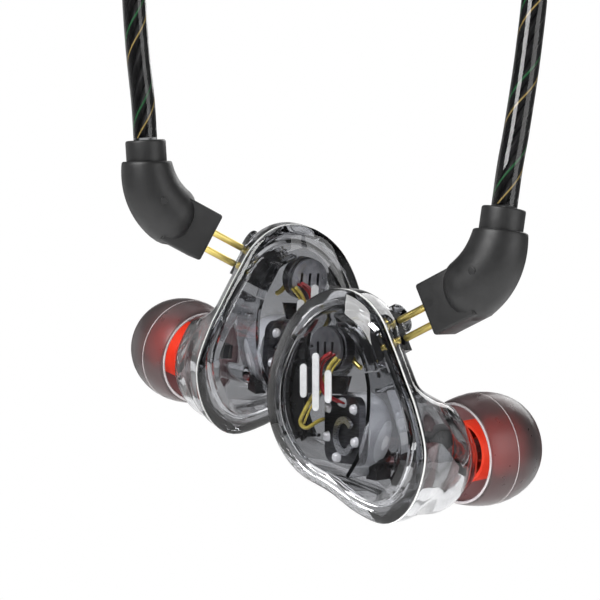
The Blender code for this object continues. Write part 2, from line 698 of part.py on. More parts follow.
def make_jack(place):
    """Strain relief, body and three-pole plug, one below the other."""
    for name, finish, profile in JACK_PIECES:
        place.put(turned(name, profile, 20), finish, JACK_TOP)


def main():
    clear_scene()
    make_materials()
    parts = new_collection("in_ear_monitors")
    guide_collection = new_collection("guides", shown=False)
    hang = bpy.data.objects.new("hang_point", None)
    parts.objects.link(hang)
    sides = (
        ("right", RIGHT_PLACE, RIGHT_TURN, 1, RIGHT_GUIDE),
        ("left", LEFT_PLACE, LEFT_TURN, -1, LEFT_GUIDE),
    )
    for name, spot, turn, side, guide in sides:
        stand = make_earpiece(parts, guide_collection, name, spot, turn, side)
        make_branch(Place(hang, parts, f"{name}_"), stand, guide, side)
    place = Place(hang, parts)
    make_cinch(place, Place(hang, guide_collection))
    make_coil(place)
    make_split_and_trunk(place)
    make_jack(place)


main()
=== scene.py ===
"""Looks of the in-ear monitors: clear shells, silicone tips, matte plugs and the sleeved, twisted cable."""

import math
import random

import bmesh
import bpy
from mathutils import Matrix, Vector, noise


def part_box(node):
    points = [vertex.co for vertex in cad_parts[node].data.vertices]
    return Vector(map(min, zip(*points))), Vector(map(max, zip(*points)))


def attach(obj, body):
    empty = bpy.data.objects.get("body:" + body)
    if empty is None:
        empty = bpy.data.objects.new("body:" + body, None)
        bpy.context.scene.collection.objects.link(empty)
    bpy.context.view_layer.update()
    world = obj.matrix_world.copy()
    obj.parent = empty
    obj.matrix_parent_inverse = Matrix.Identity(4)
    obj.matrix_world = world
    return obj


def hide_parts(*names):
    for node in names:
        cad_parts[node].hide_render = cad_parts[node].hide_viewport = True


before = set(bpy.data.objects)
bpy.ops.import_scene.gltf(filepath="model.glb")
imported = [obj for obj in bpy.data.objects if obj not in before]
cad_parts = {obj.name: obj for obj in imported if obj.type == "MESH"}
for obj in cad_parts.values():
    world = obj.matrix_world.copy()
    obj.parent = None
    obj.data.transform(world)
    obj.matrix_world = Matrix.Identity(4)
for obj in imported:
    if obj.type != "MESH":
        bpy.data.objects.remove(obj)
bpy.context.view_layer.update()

MM = 0.001
SCENE = bpy.context.scene

# The design's own sizes, in millimetres, as the CAD has them.
PLACES = {
    "right": (Vector((2.95, -16.0, -150.2)), (90.0, 0.0, -35.0), 1),
    "left": (Vector((-4.2, 0.1, -142.5)), (98.0, 2.0, 20.0), -1),
}
OUTLINE = (
    (9.9, -4.6), (8.9, -0.4), (7.5, 3.0), (6.0, 6.4), (4.3, 9.7), (1.9, 11.8), (-0.9, 12.4),
    (-4.0, 11.5), (-6.8, 9.2), (-8.9, 5.6), (-9.9, 2.0), (-9.7, -1.6), (-8.2, -4.9), (-5.7, -7.5),
    (-1.7, -9.3), (1.6, -11.2), (4.9, -12.2), (7.3, -11.2), (9.1, -8.5),
)
STATIONS = (
    (0.0, 0.00, 1.000, 9.5, 0.0, 0.0),
    (-2.2, 0.00, 1.000, 9.5, 0.0, 0.0),
    (-4.4, 0.12, 0.975, 9.2, 0.2, -0.5),
    (-6.8, 0.35, 0.92, 8.6, 0.9, -1.9),
    (-9.0, 0.62, 0.84, 7.7, 2.2, -3.7),
    (-11.0, 0.85, 0.74, 6.5, 3.4, -5.0),
    (-12.8, 1.00, 0.60, 5.4, 4.1, -5.7),
    (-14.2, 1.00, 0.50, 4.5, 4.4, -5.95),
)
SHELL_SIDES = 128
SHELL_WALL = 1.0
FACETS = 16
FACET_BUMP = 0.35
BUMPED_RINGS = 4
WALL_REACH = 7.4
WALL_LEAN = 0.7
WALL_SPREAD = (6.3, 0.45)
NECK_FLARE = (2.5, 0.5)
WALL_BLEND = 2.0
TIP_ORIGIN = Vector((4.6, -6.0, -15.4))
TIP_AXIS = Vector((0.30, 0.08, -0.95)).normalized()
NOZZLE_RADIUS = 2.6
NOZZLE_LENGTH = 6.0
NOZZLE_PROFILE = (
    (4.1, -0.9), (3.75, -0.35), (3.3, 0.05), (2.8, 0.22), (NOZZLE_RADIUS, 0.45), (NOZZLE_RADIUS, 4.9),
    (NOZZLE_RADIUS + 0.12, 5.1), (NOZZLE_RADIUS + 0.12, 5.9), (NOZZLE_RADIUS, NOZZLE_LENGTH),
    (1.8, NOZZLE_LENGTH), (1.7, 5.9), (1.7, 0.5), (1.9, -0.2), (2.4, -0.9),
)
SOCKET_ANGLE = 24.4
SOCKET_MOUTH = Vector((4.3, 7.85, -3.6))
SOCKET_SIZE = Vector((4.2, 4.4, 2.5))
SOCKET_CLEARANCE = 0.12
BOSS_END = Vector((2.5, 9.3, -7.3))
BOSS_RADIUS = 1.7
PIN_REACH = 4.85
PIN_PITCH = 2.06
PIN_RADIUS = 0.39
DRIVER_BACK = Vector((-2.2, -2.8, -3.0))
DRIVER_AIM = Vector((-0.43, 0.0, 0.90)).normalized()
ELBOW_PATH = (Vector((11.2, 11.3, -3.7)), Vector((15.9, 13.3, -3.7)), Vector((16.3, 18.3, -4.1)))
ELBOW_RADII = (3.4, 3.6, 2.85)
BLOCK_SIZE = Vector((5.3, 5.8, 4.4))
BLOCK_RISE = 0.25
CABLE_AIM = Vector((0.115, 0.99, -0.08)).normalized()
COLLAR_RADIUS = 2.3
COLLAR_LENGTH = 2.1
COLLAR_SINK = 0.25
GAP = 0.3
RED_WIRE = (
    (-2.2, 5.5, -0.95), (-3.0, 5.1, -0.95), (-3.7, 4.3, -0.85), (-3.85, 3.0, -0.8), (-3.4, 1.8, -0.85),
    (-2.8, 0.9, -1.1), (-2.0, 0.4, -1.7), (-1.85, 0.2, -2.35),
)
YELLOW_WIRE = (
    (-1.5, 5.0, -0.9), (-2.3, 4.2, -0.95), (-2.9, 3.3, -1.1), (-3.5, 2.5, -1.5), (-4.6, 1.2, -1.45),
    (-5.6, -0.6, -1.1), (-6.3, -2.0, -1.1), (-5.8, -2.7, -1.5), (-5.0, -2.0, -2.6), (-4.8, -1.8, -3.4),
)
CRADLE = (
    (-5.9, 7.6), (-7.4, 5.2), (-8.4, 1.7), (-8.2, -1.4), (-6.8, -4.2), (-6.5, -3.9), (-6.5, 1.0),
    (-1.2, 1.1), (-0.6, 3.0), (-4.6, 3.0), (-5.9, 3.9), (-6.4, 5.4),
)
CRADLE_DEPTH = -2.3

# Cable: the routes that the CAD's tubes follow, then the coil's turns.
GUIDE_RADIUS = 1.35
CABLE_RADIUS = 1.0
CABLE_LAY = 9.8
CABLE_STRANDS = 4
PATH_STEP = 0.55
BRANCH_X = 1.7
CINCH_LOW = -57.0
RIGHT_GUIDE = (
    (20.4, -21.6, -121.0), (21.7, -20.6, -113.0), (22.7, -18.8, -105.0), (22.8, -16.2, -97.0),
    (21.3, -12.8, -89.0), (18.0, -8.8, -81.5), (13.2, -5.2, -75.0), (7.6, -2.3, -69.5),
    (3.6, -0.6, -64.2),
)
LEFT_GUIDE = (
    (-20.4, -4.5, -110.5), (-20.8, -4.7, -104.0), (-20.8, -4.7, -97.5), (-19.9, -4.4, -91.0),
    (-17.8, -3.8, -85.0), (-14.6, -2.9, -79.2), (-10.8, -1.9, -73.8), (-6.9, -0.9, -68.8),
    (-3.6, -0.2, -64.2),
)
COIL_CENTRE = Vector((0.0, 0.0, -20.0))
COIL_RADIUS = 13.0
COIL_STEP = 15.0
COIL_SWAY = 0.15
ROW_CHANGE = 44.0
SPLIT_CENTRE = Vector((-13.0, -8.2, -20.0))
JACK_TOP = Vector((18.0, 0.5, -44.3))
TRUNK_END = ((17.3, 0.6, -31.2), (17.6, 0.55, -35.5), (17.9, 0.5, -39.8), (18.0, 0.5, -44.0))


# ---- shared helpers -------------------------------------------------------------------------


def stand_matrix(side):
    spot, turn, mirror = PLACES[side]
    radians = [math.radians(angle) for angle in turn]
    spin = Matrix.Rotation(radians[2], 4, "Z") @ Matrix.Rotation(radians[1], 4, "Y")
    spin = spin @ Matrix.Rotation(radians[0], 4, "X")
    scale = Matrix.Diagonal((mirror * MM, MM, MM, 1))
    return Matrix.Translation(spot * MM) @ spin @ scale


def aimed(origin, axis, across=(1, 0, 0)):
    """Matrix that puts +Z along axis and +X as near to across as it can be."""
    z_axis = Vector(axis).normalized()
    hint = Vector(across)
    if abs(z_axis.dot(hint.normalized())) > 0.99:
        hint = Vector((0, 1, 0))
    y_axis = z_axis.cross(hint).normalized()
    x_axis = y_axis.cross(z_axis)
    spin = Matrix((x_axis, y_axis, z_axis)).transposed().to_4x4()
    return Matrix.Translation(Vector(origin)) @ spin


def add_piece(name, verts, faces, matrix, material, body, sharp=40.0, smooth=True):
    """Mesh piece whose vertices end up in the frame; a mirrored matrix gets its faces turned."""
    mesh = bpy.data.meshes.new(name)
    flip = matrix.determinant() < 0
    mesh.from_pydata([matrix @ Vector(v) for v in verts], [], [f[::-1] if flip else f for f in faces])
    mesh.update()
    if smooth:
        mesh.shade_smooth()
        mesh.set_sharp_from_angle(angle=math.radians(sharp))
    obj = bpy.data.objects.new(name, mesh)
    SCENE.collection.objects.link(obj)
    obj.data.materials.append(material)
    if body:
        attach(obj, body)
    return obj


def catmull(before, start, end, after, t):
    return 0.5 * (
        2 * start + (end - before) * t + (2 * before - 5 * start + 4 * end - after) * t**2
        + (3 * start - before - 3 * end + after) * t**3
    )


def smooth_route(points, spacing):
    route = [Vector(point) for point in points]
    route = [2 * route[0] - route[1], *route, 2 * route[-1] - route[-2]]
    result = []
    for before, start, end, after in zip(route, route[1:], route[2:], route[3:]):
        steps = max(1, round((end - start).length / spacing))
        result += [catmull(before, start, end, after, step / steps) for step in range(steps)]
    return [*result, route[-2]]


def grid_faces(rings, count, closed_ends=True, loop=False):
    """Quads between rings, first ring on top when counts run counter-clockwise seen from it."""
    faces = []
    pairs = [(row, row + 1) for row in range(rings - 1)]
    if loop:
        pairs.append((rings - 1, 0))
    for upper, lower in pairs:
        top, low = upper * count, lower * count
        for index in range(count):
            after = (index + 1) % count
            faces.append((top + index, low + index, low + after, top + after))
    if closed_ends and not loop:
        faces.append(tuple(range(count)))
        faces.append(tuple(reversed(range((rings - 1) * count, rings * count))))
    return faces


def circle(centre, cross, lift, radius, sides):
    """Points round a centre, in the plane of two unit vectors."""
    ring = []
    for step in range(sides):
        angle = math.tau * step / sides
        ring.append(centre + radius * (math.cos(angle) * cross + math.sin(angle) * lift))
    return ring


def turned(profile, steps=64):
    """Verts and faces of a profile turned round Z; it runs down its outer side and may close on itself."""
    on_axis = profile[0][0] == 0 and profile[-1][0] == 0
    body = profile[1:-1] if on_axis else profile
    verts = []
    for radius, height in body:
        for index in range(steps):
            angle = math.tau * index / steps
            verts.append((radius * math.cos(angle), radius * math.sin(angle), height))
    faces = grid_faces(len(body), steps, closed_ends=False, loop=not on_axis)
    if on_axis:
        top, low = len(verts), len(verts) + 1
        verts += [(0, 0, profile[0][1]), (0, 0, profile[-1][1])]
        last = (len(body) - 1) * steps
        for index in range(steps):
            after = (index + 1) % steps
            faces.append((top, index, after))
            faces.append((low, last + after, last + index))
    return verts, faces


def rounded_profile(points, radius, steps=4):
    """The same closed or open outline with its inner corners cut by small arcs."""
    result = []
    last = len(points) - 1
    for index, point in enumerate(points):
        here = Vector(point)
        if index in (0, last) and points[0][0] == 0:
            result.append(tuple(here))
            continue
        before, after = Vector(points[index - 1]), Vector(points[(index + 1) % len(points)])
        back, ahead = (before - here), (after - here)
        reach = min(radius, back.length * 0.45, ahead.length * 0.45)
        start, end = here + back.normalized() * reach, here + ahead.normalized() * reach
        for step in range(steps + 1):
            t = step / steps
            result.append(tuple(start * (1 - t) ** 2 + here * 2 * t * (1 - t) + end * t**2))
    return result


def cut_away(obj, cutter_mesh):
    """Takes a closed cutter away from a piece and keeps the result."""
    mesh = bpy.data.meshes.new("cutter")
    cutter_mesh.to_mesh(mesh)
    cutter_mesh.free()
    cutter = bpy.data.objects.new("cutter", mesh)
    SCENE.collection.objects.link(cutter)
    modifier = obj.modifiers.new("cut", "BOOLEAN")
    modifier.operation = "DIFFERENCE"
    modifier.solver = "EXACT"
    modifier.object = cutter
    bpy.context.view_layer.update()
    result = bpy.data.meshes.new_from_object(obj.evaluated_get(bpy.context.evaluated_depsgraph_get()))
    obj.modifiers.clear()
    obj.data = result
    bpy.data.objects.remove(cutter)


# ---- materials ------------------------------------------------------------------------------


class Shader:
    """A Principled material with procedural colour, roughness and bump round one base colour."""

    def __init__(self, name, roughness=0.5, metallic=0.0):
        self.material = bpy.data.materials.new(name)
        self.material.use_nodes = True
        self.tree = self.material.node_tree
        self.surface = self.tree.nodes["Principled BSDF"]
        self.output = self.tree.nodes["Material Output"]
        self.surface.inputs["Roughness"].default_value = roughness
        self.surface.inputs["Metallic"].default_value = metallic
        self.coords = self.tree.nodes.new("ShaderNodeTexCoord")

    def set(self, **values):
        for name, value in values.items():
            self.surface.inputs[name.replace("_", " ")].default_value = value
        return self

    def noise(self, scale, detail=3.0, stretch=None):
        """Noise with a scale in features per metre."""
        node = self.tree.nodes.new("ShaderNodeTexNoise")
        node.inputs["Scale"].default_value = scale
        node.inputs["Detail"].default_value = detail
        source = self.coords.outputs["Object"]
        if stretch:
            mapping = self.tree.nodes.new("ShaderNodeMapping")
            mapping.inputs["Scale"].default_value = stretch
            self.tree.links.new(source, mapping.inputs["Vector"])
            source = mapping.outputs["Vector"]
        self.tree.links.new(source, node.inputs["Vector"])
        return node.outputs["Fac"]

    def ramp(self, factor, stops):
        node = self.tree.nodes.new("ShaderNodeValToRGB")
        ramp = node.color_ramp
        while len(ramp.elements) < len(stops):
            ramp.elements.new(0.5)
        for element, (position, colour) in zip(ramp.elements, stops):
            element.position = position
            element.color = (*colour, 1.0)
        self.tree.links.new(factor, node.inputs["Fac"])
        return node.outputs["Color"]

    def spread(self, factor, low, high):
        node = self.tree.nodes.new("ShaderNodeMapRange")
        node.inputs["From Min"].default_value = 0.3
        node.inputs["From Max"].default_value = 0.7
        node.inputs["To Min"].default_value = low
        node.inputs["To Max"].default_value = high
        self.tree.links.new(factor, node.inputs["Value"])
        return node.outputs["Result"]

    def colour(self, source):
        self.tree.links.new(source, self.surface.inputs["Base Color"])
        return self

    def mottle(self, scale, dark, light, stretch=None):
        """Base colour that wanders between two values."""
        return self.colour(self.ramp(self.noise(scale, stretch=stretch), ((0.3, dark), (0.7, light))))

    def rough(self, source):
        self.tree.links.new(source, self.surface.inputs["Roughness"])
        return self

    def bump(self, source, strength, depth):
        node = self.tree.nodes.new("ShaderNodeBump")
        node.inputs["Strength"].default_value = strength
        node.inputs["Distance"].default_value = depth
        self.tree.links.new(source, node.inputs["Height"])
        self.tree.links.new(node.outputs["Normal"], self.surface.inputs["Normal"])
        return self

    def let_lamps_through(self, tint):
        """Shadow rays pass the surface with a tint, so what is inside gets light."""
        path = self.tree.nodes.new("ShaderNodeLightPath")
        clear = self.tree.nodes.new("ShaderNodeBsdfTransparent")
        clear.inputs["Color"].default_value = (*tint, 1.0)
        mix = self.tree.nodes.new("ShaderNodeMixShader")
        self.tree.links.new(path.outputs["Is Shadow Ray"], mix.inputs["Fac"])
        self.tree.links.new(self.surface.outputs["BSDF"], mix.inputs[1])
        self.tree.links.new(clear.outputs["BSDF"], mix.inputs[2])
        self.tree.links.new(mix.outputs["Shader"], self.output.inputs["Surface"])
        return self


def glass(name, dark, light, roughness, tint, wave=0.0):
    shader = Shader(name, roughness)
    shader.set(Transmission_Weight=1.0, IOR=1.49, Specular_IOR_Level=0.5)
    shader.mottle(140, dark, light)
    if wave:
        shader.bump(shader.noise(260, 1.0), wave, 0.0004)
    return shader.let_lamps_through(tint).material


def moulded(name, dark, light, roughness, grain=0.25):
    """Matte plastic: fine spark-eroded grain, faint mottling, slightly uneven sheen."""
    shader = Shader(name, roughness)
    shader.mottle(500, dark, light)
    shader.rough(shader.spread(shader.noise(900), roughness - 0.05, roughness + 0.06))
    shader.bump(shader.noise(9000, 2.0), grain, 0.00004)
    return shader.material


def metal(name, dark, light, roughness, brush=(1, 1, 8), uneven=0.07):
    shader = Shader(name, roughness, 1.0)
    shader.mottle(900, dark, light, brush)
    shader.rough(shader.spread(shader.noise(2500, stretch=brush), roughness - uneven, roughness + uneven))
    return shader.material


def grey(value):
    return (value, value, value * 1.03)


MATERIALS = {}
TIP_SMOKE = 2400.0


def make_materials():
    clear = (0.9, 0.9, 0.91)
    MATERIALS["shell"] = glass("clear_acrylic", (0.56, 0.565, 0.58), (0.66, 0.665, 0.68), 0.0, clear, 0.04)
    MATERIALS["inner"] = glass("inner_acrylic", (0.60, 0.61, 0.63), (0.72, 0.73, 0.75), 0.02, clear, 0.06)
    MATERIALS["cup"] = smoke_cup()
    MATERIALS["sleeve"] = glass(
        "clear_sleeve", (0.42, 0.425, 0.43), (0.50, 0.505, 0.51), 0.02, (0.7, 0.7, 0.7))
    MATERIALS["plug"] = moulded("matte_black", grey(0.008), grey(0.014), 0.45)
    MATERIALS["gloss"] = moulded("satin_black", grey(0.008), grey(0.014), 0.25, 0.08)
    MATERIALS["socket"] = moulded("socket_black", grey(0.006), grey(0.012), 0.3, 0.1)
    MATERIALS["gold"] = metal("gold_plate", (0.84, 0.67, 0.20), (0.90, 0.73, 0.25), 0.3, (1, 1, 1), 0.02)
    MATERIALS["silver"] = metal("satin_nickel", (0.55, 0.56, 0.58), (0.75, 0.76, 0.78), 0.3)
    MATERIALS["solder"] = solder()
    MATERIALS["disc"] = metal("dull_disc", (0.20, 0.20, 0.21), (0.36, 0.36, 0.38), 0.4, (1, 1, 1))
    MATERIALS["dark"] = metal("dark_plate", (0.07, 0.07, 0.075), (0.14, 0.14, 0.15), 0.38)
    MATERIALS["print"] = print_and_highlight_white()
    MATERIALS["red"] = enamel("red_enamel", (0.25, 0.01, 0.012), (0.42, 0.02, 0.025))
    MATERIALS["yellow"] = enamel("yellow_enamel", (0.42, 0.33, 0.05), (0.62, 0.50, 0.10))
    MATERIALS["mesh"] = woven_screen()
    MATERIALS["foam"] = moulded("damper_foam", grey(0.03), grey(0.06), 0.9, 0.8)
    MATERIALS["tip"] = tip_silicone()
    MATERIALS["core"] = core_with_painted_glow()
    # Pale silicone as a painted highlight: it colours the tip's parting ridge and rim bead like the light
    # caught along their edges.
    MATERIALS["seam"] = seam_silicone()
    MATERIALS["cord"] = twisted_cord()
    # A second white, used as a painted highlight: the bright line along the faceplate's joint with the
    # shell.
    MATERIALS["seam_line"] = print_and_highlight_white()
    MATERIALS["strap"] = strap_fabric()


def solder():
    shader = Shader("solder", 0.25, 0.35)
    shader.mottle(1800, (0.72, 0.72, 0.74), (0.92, 0.92, 0.93))
    shader.bump(shader.noise(2500), 0.1, 0.00003)
    return shader.material


# One white for two uses: the printed mark, which is real print, and the painted highlight line at the
# faceplate's rim.
def print_and_highlight_white():
    shader = Shader("white_print", 0.5)
    shader.mottle(1500, (0.78, 0.78, 0.76), (0.90, 0.90, 0.88))
    shader.bump(shader.noise(8000), 0.2, 0.00002)
    return shader.material


def enamel(name, dark, light):
    shader = Shader(name, 0.3)
    shader.set(Coat_Weight=0.6, Coat_Roughness=0.1)
    shader.mottle(1200, dark, light)
    shader.bump(shader.noise(4000), 0.1, 0.00003)
    return shader.material


def woven_screen():
    shader = Shader("woven_screen", 0.35, 1.0)
    wave = shader.tree.nodes.new("ShaderNodeTexVoronoi")
    wave.feature = "DISTANCE_TO_EDGE"
    wave.inputs["Scale"].default_value = 4200
    wave.inputs["Randomness"].default_value = 0.05
    shader.tree.links.new(shader.coords.outputs["Object"], wave.inputs["Vector"])
    distance = wave.outputs["Distance"]
    shader.colour(shader.ramp(distance, ((0.0, grey(0.5)), (0.25, grey(0.05)))))
    shader.bump(distance, 0.8, 0.00006)
    return shader.material


def tip_silicone():
    """Smoky translucent silicone that blurs the red core behind it."""
    shader = Shader("smoke_silicone", 0.3)
    shader.set(Transmission_Weight=0.93, IOR=1.33, Specular_IOR_Level=0.3)
    shader.set(Coat_Weight=0.1, Coat_Roughness=0.3)
    shader.mottle(160, (0.58, 0.53, 0.535), (0.66, 0.60, 0.605))
    shader.rough(shader.spread(shader.noise(700), 0.27, 0.34))
    smoke = shader.tree.nodes.new("ShaderNodeVolumeAbsorption")
    smoke.inputs["Color"].default_value = (0.55, 0.26, 0.27, 1.0)
    smoke.inputs["Density"].default_value = TIP_SMOKE
    shader.tree.links.new(smoke.outputs["Volume"], shader.output.inputs["Volume"])
    return shader.let_lamps_through((0.8, 0.78, 0.78)).material


def smoke_cup():
    """Moulded smoke-grey driver cup with a soft sheen."""
    shader = Shader("smoke_cup", 0.32)
    shader.set(Transmission_Weight=0.12, IOR=1.45, Coat_Weight=0.3, Coat_Roughness=0.2)
    shader.mottle(220, (0.70, 0.71, 0.72), (0.80, 0.81, 0.82))
    shader.bump(shader.noise(1500), 0.02, 0.00003)
    return shader.let_lamps_through((0.25, 0.25, 0.26)).material


def core_with_painted_glow():
    shader = Shader("red_silicone", 0.4)
    # The emission is a painted glow. The red core shines like a weak lamp, standing in for light coming
    # through the silicone from behind.
    shader.set(Emission_Color=(0.95, 0.06, 0.02, 1.0), Emission_Strength=0.22)
    shader.mottle(400, (0.72, 0.03, 0.012), (0.85, 0.06, 0.02))
    shader.bump(shader.noise(3000), 0.06, 0.00005)
    return shader.material


# A pale pink-grey that stands in for the edge highlights on the tip's thin ridges: a painted highlight, not
# the smoky silicone's own colour.
def seam_silicone():
    shader = Shader("seam_silicone", 0.3)
    shader.mottle(900, (0.50, 0.46, 0.46), (0.66, 0.61, 0.61))
    shader.bump(shader.noise(3000), 0.05, 0.00003)
    return shader.material


def twisted_cord():
    """Black strands with one green and one gold tracer, by the angle round the twisted section."""
    shader = Shader("twisted_cord", 0.3)
    strand = shader.tree.nodes.new("ShaderNodeAttribute")
    strand.attribute_name = "strand"
    black, green, gold = (0.003, 0.003, 0.0035), (0.02, 0.14, 0.045), (0.50, 0.35, 0.11)
    stops = (
        (0.0, black), (0.226, black), (0.236, green), (0.262, green), (0.272, black),
        (0.476, black), (0.486, gold), (0.504, gold), (0.514, black),
    )
    shader.colour(shader.ramp(strand.outputs["Fac"], stops))
    shader.set(Specular_IOR_Level=0.25)
    shader.rough(shader.spread(shader.noise(2500), 0.34, 0.44))
    shader.bump(shader.noise(7000), 0.05, 0.00004)
    return shader.material


def strap_fabric():
    shader = Shader("hook_and_loop", 0.9)
    shader.set(Sheen_Weight=0.5, Sheen_Roughness=0.5)
    weave = shader.tree.nodes.new("ShaderNodeTexVoronoi")
    weave.inputs["Scale"].default_value = 2600
    shader.tree.links.new(shader.coords.outputs["Object"], weave.inputs["Vector"])
    shader.colour(shader.ramp(weave.outputs["Distance"], ((0.0, grey(0.055)), (0.6, grey(0.012)))))
    shader.bump(weave.outputs["Distance"], 0.9, 0.00015)
    return shader.material


# ---- camera, stage and lights ---------------------------------------------------------------


def make_camera():
    data = bpy.data.cameras.new("camera")
    data.lens = 101.5
    data.sensor_width = 36.0
    data.clip_start = 0.01
    camera = bpy.data.objects.new("camera", data)
    camera.location = (-0.002, -0.196, -0.139)
    camera.rotation_euler = (math.radians(90), 0, 0)
    SCENE.collection.objects.link(camera)
    SCENE.camera = camera


def add_light(name, size, place, target, power, size_y=None):
    data = bpy.data.lights.new(name, "AREA")
    data.energy = power
    data.size = size
    if size_y:
        data.shape = "RECTANGLE"
        data.size_y = size_y
    lamp = bpy.data.objects.new(name, data)
    lamp.location = place
    lamp.rotation_euler = (Vector(target) - Vector(place)).to_track_quat("-Z", "Y").to_euler()
    SCENE.collection.objects.link(lamp)
    return lamp


def add_ramp(tree, factor, stops):
    node = tree.nodes.new("ShaderNodeValToRGB")
    while len(node.color_ramp.elements) < len(stops):
        node.color_ramp.elements.new(0.5)
    for element, (place, value) in zip(node.color_ramp.elements, stops):
        element.position = place
        element.color = (value, value, value, 1)
    tree.links.new(factor, node.inputs["Fac"])
    return node.outputs["Color"]


def make_world():
    """Camera rays see plain white; the rest sees white panels round a dark studio, by direction."""
    world = bpy.data.worlds.new("studio")
    world.use_nodes = True
    tree = world.node_tree
    tree.nodes.clear()
    output = tree.nodes.new("ShaderNodeOutputWorld")
    seen = tree.nodes.new("ShaderNodeBackground")
    seen.inputs["Color"].default_value = (1, 1, 1, 1)
    lit = tree.nodes.new("ShaderNodeBackground")
    lit.inputs["Strength"].default_value = 1.0
    coords = tree.nodes.new("ShaderNodeTexCoord")
    around = tree.nodes.new("ShaderNodeTexGradient")
    around.gradient_type = "RADIAL"
    tree.links.new(coords.outputs["Generated"], around.inputs["Vector"])
    sideways = add_ramp(tree, around.outputs["Fac"], (
        (0.0, 0.30), (0.06, 0.06), (0.20, 0.06), (0.25, 0.25), (0.30, 0.06), (0.45, 0.06), (0.50, 0.35),
        (0.55, 0.05), (0.62, 0.30), (0.66, 0.03), (0.70, 0.03), (0.715, 0.62), (0.785, 0.62), (0.81, 0.08),
        (0.87, 0.75), (0.93, 0.75), (0.96, 0.3), (1.0, 0.30),
    ))
    axes = tree.nodes.new("ShaderNodeSeparateXYZ")
    tree.links.new(coords.outputs["Generated"], axes.inputs["Vector"])
    height = tree.nodes.new("ShaderNodeMapRange")
    height.inputs["From Min"].default_value = -1.0
    height.inputs["From Max"].default_value = 1.0
    tree.links.new(axes.outputs["Z"], height.inputs["Value"])
    upward = add_ramp(tree, height.outputs["Result"], (
        (0.0, 0.5), (0.30, 0.15), (0.38, 0.15), (0.43, 1.0), (0.62, 1.0), (0.68, 0.12), (0.85, 0.2),
        (0.90, 1.6), (1.0, 1.6),
    ))
    shade = tree.nodes.new("ShaderNodeMix")
    shade.data_type = "RGBA"
    shade.blend_type = "MULTIPLY"
    shade.inputs["Factor"].default_value = 1.0
    tree.links.new(sideways, shade.inputs["A"])
    tree.links.new(upward, shade.inputs["B"])
    tree.links.new(shade.outputs["Result"], lit.inputs["Color"])
    path = tree.nodes.new("ShaderNodeLightPath")
    mix = tree.nodes.new("ShaderNodeMixShader")
    tree.links.new(path.outputs["Is Camera Ray"], mix.inputs["Fac"])
    tree.links.new(lit.outputs["Background"], mix.inputs[1])
    tree.links.new(seen.outputs["Background"], mix.inputs[2])
    tree.links.new(mix.outputs["Shader"], output.inputs["Surface"])
    SCENE.world = world


def make_floor():
    """Pale round floor, well below the hanging set."""
    height, reach, sides = -0.32, 0.78, 64
    verts = circle(Vector((0, 0, height)), Vector((1, 0, 0)), Vector((0, 1, 0)), reach, sides)
    floor = add_piece(
        "floor", verts, [tuple(range(sides))], Matrix.Identity(4), pale_floor(), None, smooth=False)


def pale_floor():
    shader = Shader("pale_floor", 0.8)
    shader.mottle(30, (0.88, 0.88, 0.88), (0.92, 0.92, 0.92))
    shader.set(Emission_Color=(1, 1, 1, 1), Emission_Strength=0.55)
    return shader.material


def make_studio():
    make_camera()
    make_world()
    make_floor()
    add_light("key", 0.30, (-0.28, -0.32, 0.14), (0, 0, -0.14), 3.0)
    add_light("fill", 0.40, (0.45, -0.30, -0.05), (0, 0, -0.14), 1.3)
    rim = add_light("rim", 0.30, (0.25, 0.40, 0.12), (0, 0, -0.14), 0.9)
    rim.visible_transmission = False
    SCENE.view_settings.view_transform = "Standard"
    SCENE.cycles.transparent_max_bounces = 32
    SCENE.cycles.transmission_bounces = 24
    SCENE.cycles.max_bounces = 28


# ---- cable ----------------------------------------------------------------------------------


def coil_point(angle, row):
    """On the coil: angle in degrees anticlockwise from +X seen from the front, row = (depth, outward)."""
    depth, outward = row
    reach = COIL_RADIUS + outward
    turn = math.radians(angle)
    return COIL_CENTRE + Vector((reach * math.cos(turn), depth, reach * math.sin(turn)))


def eased(t):
    t = min(max(t, 0.0), 1.0)
    return t * t * (3 - 2 * t)


def coil_turns(start, end, rows, change_at):
    """Points of turns wound clockwise between two angles, one row on each time they pass change_at."""
    points = []
    for index in range(int((start - end) / COIL_STEP) + 1):
        angle = start - index * COIL_STEP
        shift = (change_at - angle) / 360.0
        passed = math.floor(shift + 0.5)
        into = 0.5 + (shift - passed) * 360.0 / ROW_CHANGE
        before = min(max(passed, 0), len(rows) - 1)
        after = min(max(passed + 1, 0), len(rows) - 1)
        sway = noise.noise(Vector((index * 0.9, len(rows), start))) * COIL_SWAY
        row = [a + (b - a) * eased(into) + sway for a, b in zip(rows[before], rows[after])]
        points.append(coil_point(angle, row))
    return points


def guide_root(side):
    stand = stand_matrix(side)
    root = ELBOW_PATH[2] + CABLE_AIM * (COLLAR_LENGTH + 2 * GAP)
    lead = root + CABLE_AIM * 4.0
    return [(stand @ point) / MM for point in (root, lead)]


